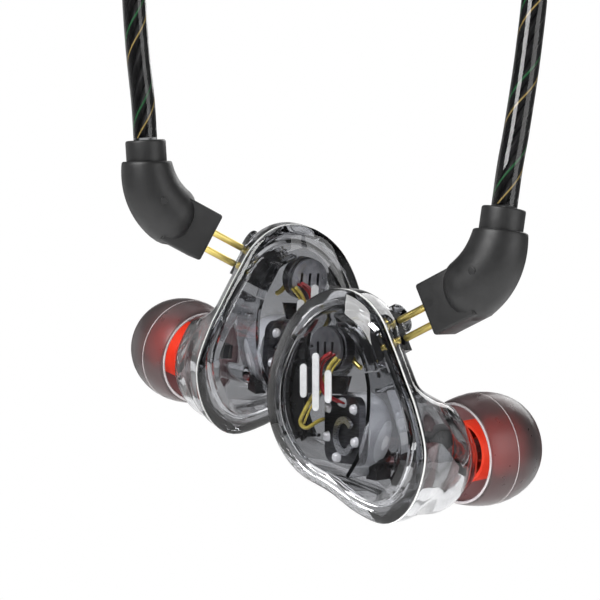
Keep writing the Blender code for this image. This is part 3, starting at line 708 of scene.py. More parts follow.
def branch_route(side):
    """From the plug's collar through the ear guide and the cinch, round the coil and into the split."""
    guide, across, rows, lag = {
        "right": (RIGHT_GUIDE, BRANCH_X, ((-0.87, 3), (-0.87, 1), (-0.87, -1)), 1),
        "left": (LEFT_GUIDE, -BRANCH_X, ((-2.6, 2), (-2.6, 0), (-2.6, -2)), -1),
    }[side]
    points = guide_root(side) + [Vector(point) for point in guide]
    points += [Vector((across, 0, CINCH_LOW + rise)) for rise in (-3, -0.5, 5, 11)]
    bend = 5.0
    reach = COIL_RADIUS + rows[0][1] + bend
    join = -math.degrees(math.acos((across - bend) / reach))
    turn = 180.0 + join
    centre = coil_point(join, (0, rows[0][1] + bend))
    for share in (0.0, 0.35, 0.7):
        angle = math.radians(turn * share)
        across_arc = Vector((math.cos(angle), 0, math.sin(angle))) * bend
        points.append(centre + across_arc + Vector((0, rows[0][0] * eased(share), 0)))
    points += coil_turns(join, -1165.0, rows, -450.0)
    leave = ((-102, -3.8, -1.6), (-115, -5.4, -1.0), (-128, -7.0, 0.0), (-140, -8.0, 1.0))
    points += [coil_point(angle, (depth, outward + 0.9 * lag)) for angle, depth, outward in leave]
    points += [SPLIT_CENTRE + Vector((-0.9 * lag, 0, low)) for low in (-8.2, -6.3)]
    return points


def trunk_route():
    """Out of the split's top, round the coil and down to the jack."""
    points = [SPLIT_CENTRE + Vector((0, 0, 6.3))]
    entry = (
        (143, -8.1, 2.0), (131, -7.2, 1.2), (120, -6.0, -0.8), (109, -4.4, -3.0), (98, -2.9, -4.2),
        (87, -1.6, -3.9),
    )
    points += [coil_point(angle, (depth, outward)) for angle, depth, outward in entry]
    rows = (
        (-0.87, -3), (0.87, -4), (2.6, -3), (0.87, -2), (2.6, -1), (0.87, 0), (2.6, 1), (0.87, 2), (2.6, 3),
        (0.87, 4),
    )
    points += coil_turns(75.0, -3240.0, rows, -90.0)
    points += [Vector((17.15, 0.7, -25.6))] + [Vector(point) for point in TRUNK_END]
    return points


def strand_radius(angle, strands, radius):
    """Radius of a section made of touching round strands."""
    strand = radius * 0.414
    centre = radius - strand
    off = math.remainder(angle, math.tau / strands)
    depth = max(strand**2 - (centre * math.sin(off)) ** 2, 0.0)
    return max(centre * math.cos(off) + math.sqrt(depth), radius * 0.6)


def frames_along(path):
    """Unit directions and steady side vectors along a path."""
    aims = []
    for index in range(len(path)):
        ahead = path[min(index + 1, len(path) - 1)]
        behind = path[max(index - 1, 0)]
        aims.append((ahead - behind).normalized())
    side = aims[0].orthogonal().normalized()
    sides = []
    for aim in aims:
        side = (side - aim * side.dot(aim)).normalized()
        sides.append(side)
    return aims, sides


def twisted_tube(name, path, radius, material, body, sides=24):
    """Four-strand twisted cable along a path in millimetres, with each corner's place round the strands."""
    aims, crosses = frames_along(path)
    verts, faces = [], []
    run = 0.0
    for index, (spot, aim, cross) in enumerate(zip(path, aims, crosses)):
        if index:
            run += (spot - path[index - 1]).length
        lift = aim.cross(cross)
        for step in range(sides):
            angle = math.tau * step / sides
            reach = strand_radius(angle, CABLE_STRANDS, radius)
            turn = angle + math.tau * run / CABLE_LAY
            verts.append(spot + reach * (math.cos(turn) * cross + math.sin(turn) * lift))
    rings = len(path)
    for base in range(0, (rings - 1) * sides, sides):
        for step in range(sides):
            after = (step + 1) % sides
            faces.append((base + step, base + after, base + sides + after, base + sides + step))
    faces.append(tuple(reversed(range(sides))))
    faces.append(tuple(range((rings - 1) * sides, rings * sides)))
    cable = add_piece(name, verts, faces, Matrix.Scale(MM, 4), material, body, sharp=80.0)
    mark_strands(cable, rings, sides)
    return cable


def mark_strands(cable, rings, sides):
    """Stores each corner's share of the way round, which the cord's material colours by."""
    strand = cable.data.attributes.new("strand", "FLOAT", "CORNER")
    values = []
    for step in range(sides):
        values += [step / sides, (step + 1) / sides, (step + 1) / sides, step / sides]
    values = values * (rings - 1) + [0.0] * (2 * sides)
    strand.data.foreach_set("value", values)


def even_path(points, spacing):
    """Evenly spaced points on the smooth curve through a route."""
    dense = smooth_route(points, spacing / 4)
    lengths = [0.0]
    for before, after in zip(dense, dense[1:]):
        lengths.append(lengths[-1] + (after - before).length)
    count = max(2, round(lengths[-1] / spacing))
    result, place = [], 0
    for index in range(count + 1):
        target = lengths[-1] * index / count
        while place < len(dense) - 2 and lengths[place + 1] < target:
            place += 1
        share = (target - lengths[place]) / max(lengths[place + 1] - lengths[place], 1e-9)
        result.append(dense[place].lerp(dense[place + 1], min(max(share, 0.0), 1.0)))
    return result


def make_cords():
    cords = {}
    routes = {
        "right_branch": branch_route("right"), "left_branch": branch_route("left"), "trunk": trunk_route(),
    }
    for name, route in routes.items():
        path = even_path(route, PATH_STEP)
        cords[name] = (twisted_tube(name, path, CABLE_RADIUS, MATERIALS["cord"], "harness"), path)
    return cords


# ---- earpiece -------------------------------------------------------------------------------


def soft_least(first, second):
    return -math.log(math.exp(-WALL_BLEND * first) + math.exp(-WALL_BLEND * second)) / WALL_BLEND


def wall_limit(spot):
    spread_top, spread = WALL_SPREAD
    flare_top, flare = NECK_FLARE
    widening = spread * max(0.0, spread_top - spot.y) + flare * max(0.0, flare_top - spot.y) ** 2
    return WALL_REACH + widening + WALL_LEAN * spot.z


def closed_outline(points, count, facets=0):
    """Even angles round a smooth closed curve; with facets, flat runs between that many corners."""
    corners = [Vector(point) for point in points]
    dense = []
    for index, start in enumerate(corners):
        before = corners[index - 1]
        end = corners[(index + 1) % len(corners)]
        after = corners[(index + 2) % len(corners)]
        dense += [catmull(before, start, end, after, step / 24) for step in range(24)]
    angles = [math.atan2(point.y, point.x) % math.tau for point in dense]

    def reach(angle):
        away = [abs(math.remainder(other - angle, math.tau)) for other in angles]
        first, second = sorted(range(len(dense)), key=away.__getitem__)[:2]
        near, far = away[first] + 1e-9, away[second] + 1e-9
        return (dense[first].length * far + dense[second].length * near) / (near + far)

    ring = []
    for index in range(count):
        angle = math.tau * index / count
        ring.append(reach(angle) * Vector((math.cos(angle), math.sin(angle))))
    if facets:
        run = count // facets
        posts = ring[::run]
        ring = [posts[i // run].lerp(posts[(i // run + 1) % facets], i % run / run) for i in range(count)]
    return ring


def station_ring(station, outline):
    depth, roundness, scale, radius, centre_x, centre_y = station
    roundness = min(max(roundness, 0.0), 1.0)
    centre = Vector((centre_x, centre_y, depth))
    tilt = Vector((0, 0, 1)).lerp(-TIP_AXIS, roundness).normalized()
    turn = Vector((0, 0, 1)).rotation_difference(tilt)
    ring = []
    for point in outline:
        across = point.normalized() * radius
        flat = (point * scale).lerp(across, roundness)
        spot = centre + turn @ Vector((flat.x, flat.y, 0))
        spot.x = soft_least(spot.x, wall_limit(spot))
        ring.append(spot)
    return ring


def axis_ring(radius, height):
    turn = Vector((0, 0, 1)).rotation_difference(-TIP_AXIS)
    cross, lift = turn @ Vector((1, 0, 0)), turn @ Vector((0, 1, 0))
    return circle(TIP_ORIGIN + TIP_AXIS * height, cross, lift, radius, SHELL_SIDES)


def blended_stations(steps):
    stations = [Vector(station) for station in STATIONS]
    padded = [2 * stations[0] - stations[1], *stations, 2 * stations[-1] - stations[-2]]
    rows = []
    for part in zip(padded, padded[1:], padded[2:], padded[3:]):
        rows += [catmull(*part, step / steps) for step in range(steps)]
    return [*rows, stations[-1]]


def drawn_in(ring, wall):
    """The ring moved towards its own middle by the wall's thickness."""
    middle = sum(ring, Vector()) / len(ring)
    return [point + (middle - point).normalized() * wall for point in ring]


def jagged(ring):
    """The ring with its corners pushed in or out at random, as a hand-finished inside has them."""
    bumps = [random.uniform(-FACET_BUMP, FACET_BUMP) for _ in range(FACETS)]
    middle = sum(ring, Vector()) / len(ring)
    run = len(ring) // FACETS
    moved = []
    for spot, point in enumerate(ring):
        share = spot % run / run
        bump = bumps[spot // run] * (1 - share) + bumps[(spot // run + 1) % FACETS] * share
        moved.append(point + (point - middle).normalized() * bump)
    return moved


def shell_rings():
    """Down the smooth outside, over the nozzle's end and back up the flat-cut inside."""
    outline = closed_outline(OUTLINE, SHELL_SIDES)
    cut = closed_outline(OUTLINE, SHELL_SIDES, FACETS)
    rings = [station_ring(station, outline) for station in blended_stations(5)]
    rings += [axis_ring(radius, height) for radius, height in NOZZLE_PROFILE]
    random.seed(7)
    for index, station in enumerate(reversed(STATIONS[:-1])):
        ring = drawn_in(station_ring(station, cut), SHELL_WALL)
        rings.append(jagged(ring) if index < BUMPED_RINGS else ring)
    return rings


def open_for_socket(shell, matrix):
    """Cuts the opening that the socket block stands in."""
    opening = bmesh.new()
    bmesh.ops.create_cube(opening, size=1.0)
    into = matrix @ aimed(SOCKET_MOUTH, (0, 0, 1), socket_out())
    for vert in opening.verts:
        spot = Vector(c * (s + 2 * SOCKET_CLEARANCE) for c, s in zip(vert.co, SOCKET_SIZE))
        vert.co = into @ (spot + Vector((1.0 - SOCKET_SIZE.x / 2, 0, 0)))
    if matrix.determinant() < 0:
        bmesh.ops.reverse_faces(opening, faces=opening.faces)
    cut_away(shell, opening)


def make_shell(side, matrix, body):
    """Clear shell, open at the rim and down the nozzle, with the round boss beside its socket."""
    rings = shell_rings()
    verts = [point for ring in rings for point in ring]
    faces = grid_faces(len(rings), SHELL_SIDES, loop=True)
    shell = add_piece(f"{side}_clear_shell", verts, faces, matrix, MATERIALS["shell"], body, 24.0)
    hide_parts(f"{side}_shell")
    open_for_socket(shell, matrix)
    profile = ((0, 0.05), (BOSS_RADIUS, 0.05), (BOSS_RADIUS, -4.6), (0, -4.6))
    boss = turned(rounded_profile(profile, 0.3), 48)
    place = matrix @ aimed(BOSS_END, socket_out())
    piece = add_piece(f"{side}_boss", *boss, place, MATERIALS["shell"], body)


def socket_out():
    angle = math.radians(SOCKET_ANGLE)
    return Vector((math.cos(angle), math.sin(angle), 0))


def socket_up():
    out = socket_out()
    return Vector((-out.y, out.x, 0))


def outline_rings(steps):
    outline = closed_outline(OUTLINE, SHELL_SIDES)
    return [Vector((p.x * scale, p.y * scale, height)) for height, scale in steps for p in outline]


def make_faceplate(side, matrix, body):
    """Flat window with a wide bevel, a rounded rim and a spigot that drops into the shell."""
    steps = (
        (1.85, 0.765), (1.84, 0.785), (1.79, 0.805), (1.15, 0.955), (1.0, 0.975), (0.86, 0.990),
        (0.72, 0.998), (0.58, 1.0), (0.42, 0.998), (0.30, 0.988), (0.30, 0.895), (-0.9, 0.89),
        (-1.0, 0.88), (-1.0, 0.84), (-0.9, 0.83), (0.2, 0.815), (0.3, 0.80),
    )
    verts = outline_rings(steps)
    faces = grid_faces(len(steps), SHELL_SIDES)
    plate = add_piece(f"{side}_window", verts, faces, matrix, MATERIALS["shell"], body, 22.0)
    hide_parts(f"{side}_faceplate")
    # The white ring at the faceplate's joint with the shell is a painted highlight. It stands in for the
    # bright line that the light draws along the rim, and its shape follows the joint.
    seam = outline_rings(((0.27, 1.002), (0.12, 1.002), (0.12, 0.985), (0.27, 0.985)))
    loops = grid_faces(4, SHELL_SIDES, loop=True)
    line = add_piece(f"{side}_rim_seam", seam, loops, matrix, MATERIALS["seam_line"], body, 60.0)


def tube(name, points, radius, matrix, material, body, sides=12, spacing=0.25):
    """Round wire along a smooth route, with domed ends."""
    path = even_path(points, spacing)
    aims, crosses = frames_along(path)
    rings = [(0, 0.3), *[(index, 1.0) for index in range(len(path))], (len(path) - 1, 0.3)]
    verts = []
    for order, (index, share) in enumerate(rings):
        nudge = (-0.4 if order == 0 else 0.4) * radius if share < 1 else 0.0
        lift = aims[index].cross(crosses[index])
        verts += circle(path[index] + aims[index] * nudge, crosses[index], lift, radius * share, sides)
    faces = [face[::-1] for face in grid_faces(len(rings), sides)]
    return add_piece(name, verts, faces, matrix, material, body, 60.0)


def box_piece(name, size, matrix, material, body, round_off=0.15, segments=3):
    """Block with rounded edges, centred on its matrix."""
    bm = bmesh.new()
    bmesh.ops.create_cube(bm, size=1.0)
    for vert in bm.verts:
        vert.co = Vector(c * s for c, s in zip(vert.co, size))
    bmesh.ops.bevel(bm, geom=bm.edges[:], offset=round_off, segments=segments, profile=0.5, affect="EDGES")
    verts = [tuple(vert.co) for vert in bm.verts]
    faces = [tuple(vert.index for vert in face.verts) for face in bm.faces]
    bm.free()
    return add_piece(name, verts, faces, matrix, material, body, 35.0)


def prism(name, outline, low, high, matrix, material, body, inset=0.08):
    """Flat plate of an (x, y) outline with softened rims."""
    count = len(outline)
    middle = sum((Vector(point) for point in outline), Vector((0, 0))) / count
    verts = []
    for height, pull in ((high, inset), (high - inset, 0), (low + inset, 0), (low, inset)):
        for point in outline:
            spot = Vector(point)
            spot += (middle - spot).normalized() * pull
            verts.append((spot.x, spot.y, height))
    return add_piece(name, verts, grid_faces(4, count), matrix, material, body, 40.0)


def make_driver(side, matrix, body):
    place = matrix @ aimed(DRIVER_BACK, DRIVER_AIM)
    cup = (
        (4.0, -0.9), (4.0, -2.7), (3.9, -3.1), (3.55, -3.75), (3.1, -4.1), (2.5, -4.25), (1.2, -4.25),
        (1.2, -3.95), (2.4, -3.95), (2.95, -3.8), (3.3, -3.45), (3.55, -3.0), (3.6, -2.6), (3.6, -0.9),
    )
    housing = add_piece(f"{side}_driver_cup", *turned(cup, 72), place, MATERIALS["cup"], body, 50.0)
    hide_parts(f"{side}_driver_housing")
    spots = ((2.6, 2.3), (2.95, -1.2), (-0.7, -3.0), (-2.7, 2.2), (-2.9, -0.9), (0.4, 2.95))
    for index, (x, y) in enumerate(spots):
        height = 0.5 + 0.08 * (index % 3)
        blob = [
            (0, height), (0.3, height - 0.03), (0.48, height - 0.16), (0.55, 0.05), (0.6, -0.03), (0, -0.05),
        ]
        seat = place @ aimed(Vector((x, y, 0.0)), (0.05 * x, 0.04 * y, 1))
        name = f"{side}_solder_{index + 1}"
        piece = add_piece(name, *turned(blob, 20), seat, MATERIALS["solder"], body, 60.0)


def make_wires(side, matrix, body):
    second = [Vector(point) + Vector((0.3, -0.15, -0.25)) for point in RED_WIRE]
    third = [Vector(point) + Vector((0.35, -0.2, -0.2)) for point in YELLOW_WIRE[:7]]
    for name, route, radius, kind in (
        ("red_lead", RED_WIRE, 0.22, "red"), ("red_return", second, 0.15, "red"),
        ("yellow_lead", YELLOW_WIRE, 0.22, "yellow"), ("yellow_return", third, 0.13, "yellow"),
    ):
        piece = tube(f"{side}_{name}", route, radius, matrix, MATERIALS[kind], body)
        if name.endswith("lead"):
            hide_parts(f"{side}_wire_{kind}")


def wall_strip(name, route, low, high, thickness, matrix, material, body):
    """Thin upright wall along a flat route."""
    path = even_path([Vector((x, y, 0)) for x, y in route], 0.35)
    aims, _ = frames_along(path)
    verts = []
    for spot, aim in zip(path, aims):
        across = Vector((-aim.y, aim.x, 0)) * thickness / 2
        for offset, height in ((across, high), (-across, high), (-across, low), (across, low)):
            verts.append(spot + offset + Vector((0, 0, height)))
    faces = [face[::-1] for face in grid_faces(len(path), 4)]
    return add_piece(name, verts, faces, matrix, material, body, 30.0)


def make_cradle(side, matrix, body):
    """Black bracket behind the drivers: the plate, a raised arm by the back wall and two fins."""
    plate = prism(
        f"{side}_cradle", CRADLE, CRADLE_DEPTH - 0.3, CRADLE_DEPTH + 0.3, matrix, MATERIALS["socket"], body)
    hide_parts(f"{side}_driver_cradle")
    fins = (
        ("cradle_arm", ((-6.9, 6.6), (-7.7, 4.6), (-8.3, 1.7), (-8.1, -1.3), (-7.0, -3.9)), -5.2, -1.5, 0.5),
        ("cradle_foot", ((-0.6, -4.6), (0.6, -6.2), (0.5, -8.2)), -7.4, -4.6, 1.3),
        ("cradle_hood", ((-0.9, 8.4), (0.8, 7.9), (1.7, 6.7), (1.9, 5.4)), -7.4, -5.1, 0.9),
    )
    for name, route, low, high, thickness in fins:
        fin = wall_strip(f"{side}_{name}", route, low, high, thickness, matrix, MATERIALS["socket"], body)


def make_sound_path(side, matrix, body):
    """Clear tube from the driver bay down the neck, with the black filter block above it."""
    route = ((1.4, -6.3, -6.6), (2.3, -6.4, -8.6), (3.2, -6.4, -10.8), (4.1, -6.2, -13.6))
    pipe = tube(f"{side}_sound_tube", route, 1.05, matrix, MATERIALS["inner"], body, 32)
    place = matrix @ aimed(Vector((4.9, -3.9, -9.4)), TIP_AXIS)
    filter_block = box_piece(f"{side}_filter_block", (3.2, 1.7, 3.0), place, MATERIALS["socket"], body, 0.2)


def make_inner_walls(side, matrix, body):
    """Clear partition round the driver bay, its ribs and the shelf under the socket."""
    partition = ((2.62, 3.5), (2.9, 1.6), (2.7, -2.0), (1.7, -5.2), (0.2, -7.6))
    thin = (
        ("partition", partition, -7.6, -0.4, 0.45),
        ("partition_top", ((-1.2, 8.6), (0.9, 7.4), (2.1, 5.2), (2.6, 3.65)), -2.1, -0.4, 0.45),
        ("rib_upper", ((3.2, 1.6), (5.2, 1.7)), -4.6, -1.2, 0.45),
        ("rib_lower", ((-8.2, -3.3), (-4.2, -3.4)), -1.9, -1.3, 0.35),
        ("rib_left", ((-7.4, 4.4), (-5.2, 4.7)), -1.9, -1.3, 0.35),
        ("rib_top", ((-6.6, 5.6), (-4.9, 6.2)), -1.5, -1.1, 0.3),
    )
    clear = MATERIALS["inner"]
    for name, route, low, high, thickness in thin:
        wall_strip(f"{side}_{name}", route, low, high, thickness, matrix, clear, body)
    shelf = matrix @ Matrix.Translation(Vector((3.4, 3.2, -3.6)))
    box_piece(f"{side}_socket_shelf", (1.8, 0.6, 3.0), shelf, clear, body, 0.15)


def make_contact_spring(side, matrix, body):
    """Bowed gold strip behind the socket, in place of the CAD's board."""
    out, up = socket_out(), socket_up()
    spring = []
    for step in range(9):
        angle = math.radians(-70 + 140 * step / 8)
        spring.append(SOCKET_MOUTH - out * (5.4 + 0.9 * math.cos(angle)) + up * (1.9 * math.sin(angle)))
    clip = tube(f"{side}_contact_spring", spring, 0.28, matrix, MATERIALS["gold"], body)
    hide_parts(f"{side}_socket_board")


def make_ear_tip(side, matrix, body):
    place = matrix @ aimed(TIP_ORIGIN, TIP_AXIS)
    seat = 3.5
    flange = (
        (seat, 9.3), (3.62, 9.4), (4.05, 9.3), (4.55, 8.98), (5.05, 8.5), (5.45, 7.95), (5.8, 7.25),
        (6.1, 6.4), (6.33, 5.4), (6.44, 4.4), (6.44, 3.4), (6.34, 2.3), (6.14, 1.2), (5.86, 0.2),
        (5.74, 0.0), (5.57, -0.06), (5.38, 0.02), (5.36, 0.2), (5.66, 1.2), (5.85, 2.3), (5.93, 3.4),
        (5.91, 4.3), (5.77, 5.2), (5.5, 6.1), (5.15, 6.8), (4.75, 7.35), (4.3, 7.8), (3.8, 8.05),
        (seat, 8.1),
    )
    dome = add_piece(f"{side}_tip_dome", *turned(flange, 112), place, MATERIALS["tip"], body, 60.0)
    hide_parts(f"{side}_ear_tip")
    core = (
        (2.0, 9.6), (2.15, 9.7), (3.25, 9.7), (3.4, 9.62), (3.46, 9.45), (3.46, 1.15), (3.4, 1.02),
        (3.3, 1.0), (3.08, 1.0), (3.0, 1.1), (3.0, 6.3), (2.9, 6.5), (2.1, 6.9), (2.0, 7.0),
    )
    stem = add_piece(f"{side}_tip_stem", *turned(core, 80), place, MATERIALS["core"], body, 50.0)
    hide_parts(f"{side}_ear_tip_core")
    # The parting ridge round the dome and the bead at the skirt's edge are real shapes. Their pale colour is
    # a painted highlight for the light along those edges.
    seam = ((6.43, 3.56), (6.465, 3.53), (6.465, 3.47), (6.43, 3.44), (6.4, 3.5))
    line = add_piece(f"{side}_tip_seam", *turned(seam, 112), place, MATERIALS["seam"], body, 80.0)
    rim = ((5.66, 0.02), (5.72, -0.05), (5.66, -0.12), (5.5, -0.14), (5.42, -0.05), (5.5, 0.02))
    bead = add_piece(f"{side}_tip_rim_highlight", *turned(rim, 112), place, MATERIALS["seam"], body, 80.0)


# ---- plug and cable fittings ----------------------------------------------------------------


def bezier(points, t):
    first, middle, last = points
    return first * (1 - t) ** 2 + middle * 2 * t * (1 - t) + last * t**2


def make_plug_block(side, matrix):
    out, up = socket_out(), socket_up()
    start = SOCKET_MOUTH + out * (PIN_REACH + 0.1 + BLOCK_SIZE.x / 2) + up * BLOCK_RISE
    size = (BLOCK_SIZE.y, BLOCK_SIZE.z, BLOCK_SIZE.x)
    place = matrix @ aimed(start, out, up)
    block = box_piece(f"{side}_plug_block", size, place, MATERIALS["plug"], "harness", 0.32, 4)
    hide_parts(f"{side}_plug_body")


def make_elbow(side, matrix):
    """Curved grip from the block to the collar, with a rounded start and end."""
    sides, step = 48, 0.01
    shares = [(0.0, 0.3), (0.03, 0.74), (0.08, 0.88), (0.13, 0.95), (0.18, 0.985)]
    shares += [(0.24 + 0.04 * index, 1.0) for index in range(19)]
    shares += [(0.985, 0.995), (0.995, 0.975), (1.0, 0.94)]
    verts = []
    for share, shrink in shares:
        aim = (bezier(ELBOW_PATH, share + step) - bezier(ELBOW_PATH, share - step)).normalized()
        lift = aim.cross(Vector((0, 0, 1))).normalized()
        radius = shrink * bezier(ELBOW_RADII, share)
        verts += circle(bezier(ELBOW_PATH, share), lift.cross(aim), lift, radius, sides)
    faces = grid_faces(len(shares), sides)
    elbow = add_piece(f"{side}_plug_elbow", verts, faces, matrix, MATERIALS["plug"], "harness", 35.0)


def make_side_mark(side, matrix):
    """Plain raised dot on the elbow's face."""
    aim = (bezier(ELBOW_PATH, 0.62) - bezier(ELBOW_PATH, 0.58)).normalized()
    facing = Vector((0, 0, 1))
    dot_place = bezier(ELBOW_PATH, 0.52) + facing * (bezier(ELBOW_RADII, 0.52) - 0.06)
    dot = turned(rounded_profile(((0, 0.14), (0.42, 0.14), (0.42, -0.2), (0, -0.2)), 0.08), 32)
    place = matrix @ aimed(dot_place, facing, aim)
    mark = add_piece(f"{side}_side_mark", *dot, place, MATERIALS["plug"], "harness")


def make_pins(side, matrix):
    out, up = socket_out(), socket_up()
    shoulder, nose = 0.62, 0.34
    for name, way in (("a", 1), ("b", -1)):
        root = SOCKET_MOUTH + up * way * PIN_PITCH / 2
        profile = [(0, PIN_REACH + 1.2), (PIN_RADIUS, PIN_REACH + 1.2), (PIN_RADIUS, shoulder)]
        for degrees in (15, 30, 45, 60, 75):
            turn = math.radians(degrees)
            profile.append((PIN_RADIUS * math.cos(turn), shoulder - nose * math.sin(turn)))
        profile.append((0, shoulder - nose))
        place = matrix @ aimed(root, out)
        pin = add_piece(f"{side}_pin_{name}", *turned(profile, 32), place, MATERIALS["gold"], "harness")
        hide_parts(f"{side}_plug_pin_{name}")


def make_collar(side, matrix):
    """Turned ring at the elbow's end, round the cable and its sleeve."""
    top, bore = COLLAR_LENGTH + GAP + COLLAR_SINK, 1.38
    ring = rounded_profile(((COLLAR_RADIUS, top), (COLLAR_RADIUS, 0), (bore, 0), (bore, top)), 0.28)
    place = matrix @ aimed(ELBOW_PATH[2] - CABLE_AIM * COLLAR_SINK, CABLE_AIM)
    collar = add_piece(f"{side}_collar", *turned(ring, 64), place, MATERIALS["plug"], "harness")
    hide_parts(f"{side}_plug_collar")


def make_sleeve(side):
    """Clear memory sleeve over the twisted cable, from inside the collar to the end of the ear guide."""
    guide = {"right": RIGHT_GUIDE, "left": LEFT_GUIDE}[side]
    path = even_path(guide_root(side) + [Vector(point) for point in guide], 0.6)
    aims, crosses = frames_along(path)
    sides, far_tuck = 40, 0.2
    ends = ((0.86, -0.50), (0.96, -0.46), (1.0, -0.4), (1.0, 0.0))
    last = len(path) - 1
    rings = [(0, share, nudge) for share, nudge in ends]
    rings += [(index, 1.0, 0.0) for index in range(1, last)]
    rings += [(last, share, -far_tuck * nudge) for share, nudge in reversed(ends)]
    verts = []
    for index, share, nudge in rings:
        lift = aims[index].cross(crosses[index])
        spot = path[index] + aims[index] * nudge
        verts += circle(spot, crosses[index], lift, GUIDE_RADIUS * share, sides)
    faces = [face[::-1] for face in grid_faces(len(rings), sides)]
    place = Matrix.Scale(MM, 4)
    sleeve = add_piece(f"{side}_guide_sleeve", verts, faces, place, MATERIALS["sleeve"], "harness", 50.0)
    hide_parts(f"{side}_ear_guide")
    return sleeve


def make_mark(side, matrix, body):
    """Printed mark: three plain level bars with round ends."""
    bars = ((-1.5, -1.2, 1.6), (0.1, -2.6, 2.8), (1.7, -1.7, 1.0))
    verts, faces = [], []
    for left, low, high in bars:
        outline = []
        for start, centre in ((0, high), (180, low)):
            for step in range(9):
                angle = math.radians(start + 22.5 * step)
                outline.append((left + 0.42 * math.cos(angle), centre + 0.42 * math.sin(angle)))
        base = len(verts)
        count = len(outline)
        verts += [(x, y, height) for height in (0.07, -0.07) for x, y in outline]
        faces += [tuple(base + index for index in face) for face in grid_faces(2, count)]
    place = matrix @ Matrix.Translation(Vector((-3.7, 2.3, -0.1)))
    mark = add_piece(f"{side}_print", verts, faces, place, MATERIALS["print"], body, 30.0)
    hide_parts(f"{side}_emblem")


def make_cinch():
    """Rounded slider with a hole for each branch and finger ribs on both faces."""
    low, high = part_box("cinch")
    centre = (Vector(low) + Vector(high)) / 2 / MM
    width, depth, tall = (Vector(high) - Vector(low)) / MM
    corner, steps = 1.9, 8
    outline = []
    for quarter, (way_x, way_y) in enumerate(((1, 1), (-1, 1), (-1, -1), (1, -1))):
        for step in range(steps + 1):
            angle = math.pi / 2 * (quarter + step / steps)
            spot = Vector((way_x * (width / 2 - corner), way_y * (depth / 2 - corner), 0))
            outline.append(spot + corner * Vector((math.cos(angle), math.sin(angle), 0)))
    half = tall / 2
    rings = ((half, 0.86), (half - 0.15, 0.93), (half - 0.5, 0.985), (half - 1.0, 1.0))
    rings += tuple((-height, share) for height, share in reversed(rings))
    verts = [Vector((p.x * share, p.y * share, height)) for height, share in rings for p in outline]
    place = Matrix.Scale(MM, 4) @ Matrix.Translation(centre)
    faces = grid_faces(len(rings), len(outline))
    slider = add_piece("cinch_slider", verts, faces, place, MATERIALS["plug"], "cinch", 30.0)
    radius = (CABLE_RADIUS + 0.12) * MM
    for way in (1, -1):
        bore = bmesh.new()
        bmesh.ops.create_cone(
            bore, cap_ends=True, segments=40, radius1=radius, radius2=radius, depth=2 * tall * MM,
            matrix=Matrix.Translation((centre + Vector((way * BRANCH_X, 0, 0))) * MM))
        cut_away(slider, bore)
    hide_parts("cinch")
    make_cinch_ribs(centre, depth)


def make_cinch_ribs(centre, depth):
    pitch, sink = 1.15, 0.02
    for face in (1, -1):
        for index in range(4):
            spot = centre + Vector((0, face * (depth / 2 - sink), (index - 1.5) * pitch))
            name = f"cinch_rib_{'front' if face < 0 else 'back'}_{index + 1}"
            place = Matrix.Scale(MM, 4) @ Matrix.Translation(spot)
            rib = box_piece(name, (3.2, 0.3, 0.45), place, MATERIALS["plug"], "cinch", 0.12)


def make_split():
    """Turned sleeve where the branches meet, with a groove round each end."""
    profile = (
        (0, 6.5), (1.5, 6.5), (1.75, 6.42), (2.0, 6.1), (2.2, 5.6), (2.42, 4.6), (2.5, 3.9), (2.5, 3.2),
        (2.38, 3.1), (2.38, 2.8), (2.5, 2.7), (2.5, -3.2), (2.38, -3.3), (2.38, -3.6), (2.5, -3.7),
        (2.48, -4.3), (2.3, -5.9), (2.1, -6.35), (1.9, -6.5), (0, -6.5),
    )
    place = Matrix.Scale(MM, 4) @ Matrix.Translation(SPLIT_CENTRE)
    split = add_piece("split_sleeve", *turned(profile, 64), place, MATERIALS["gloss"], "harness", 40.0)
    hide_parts("y_split")
    return split


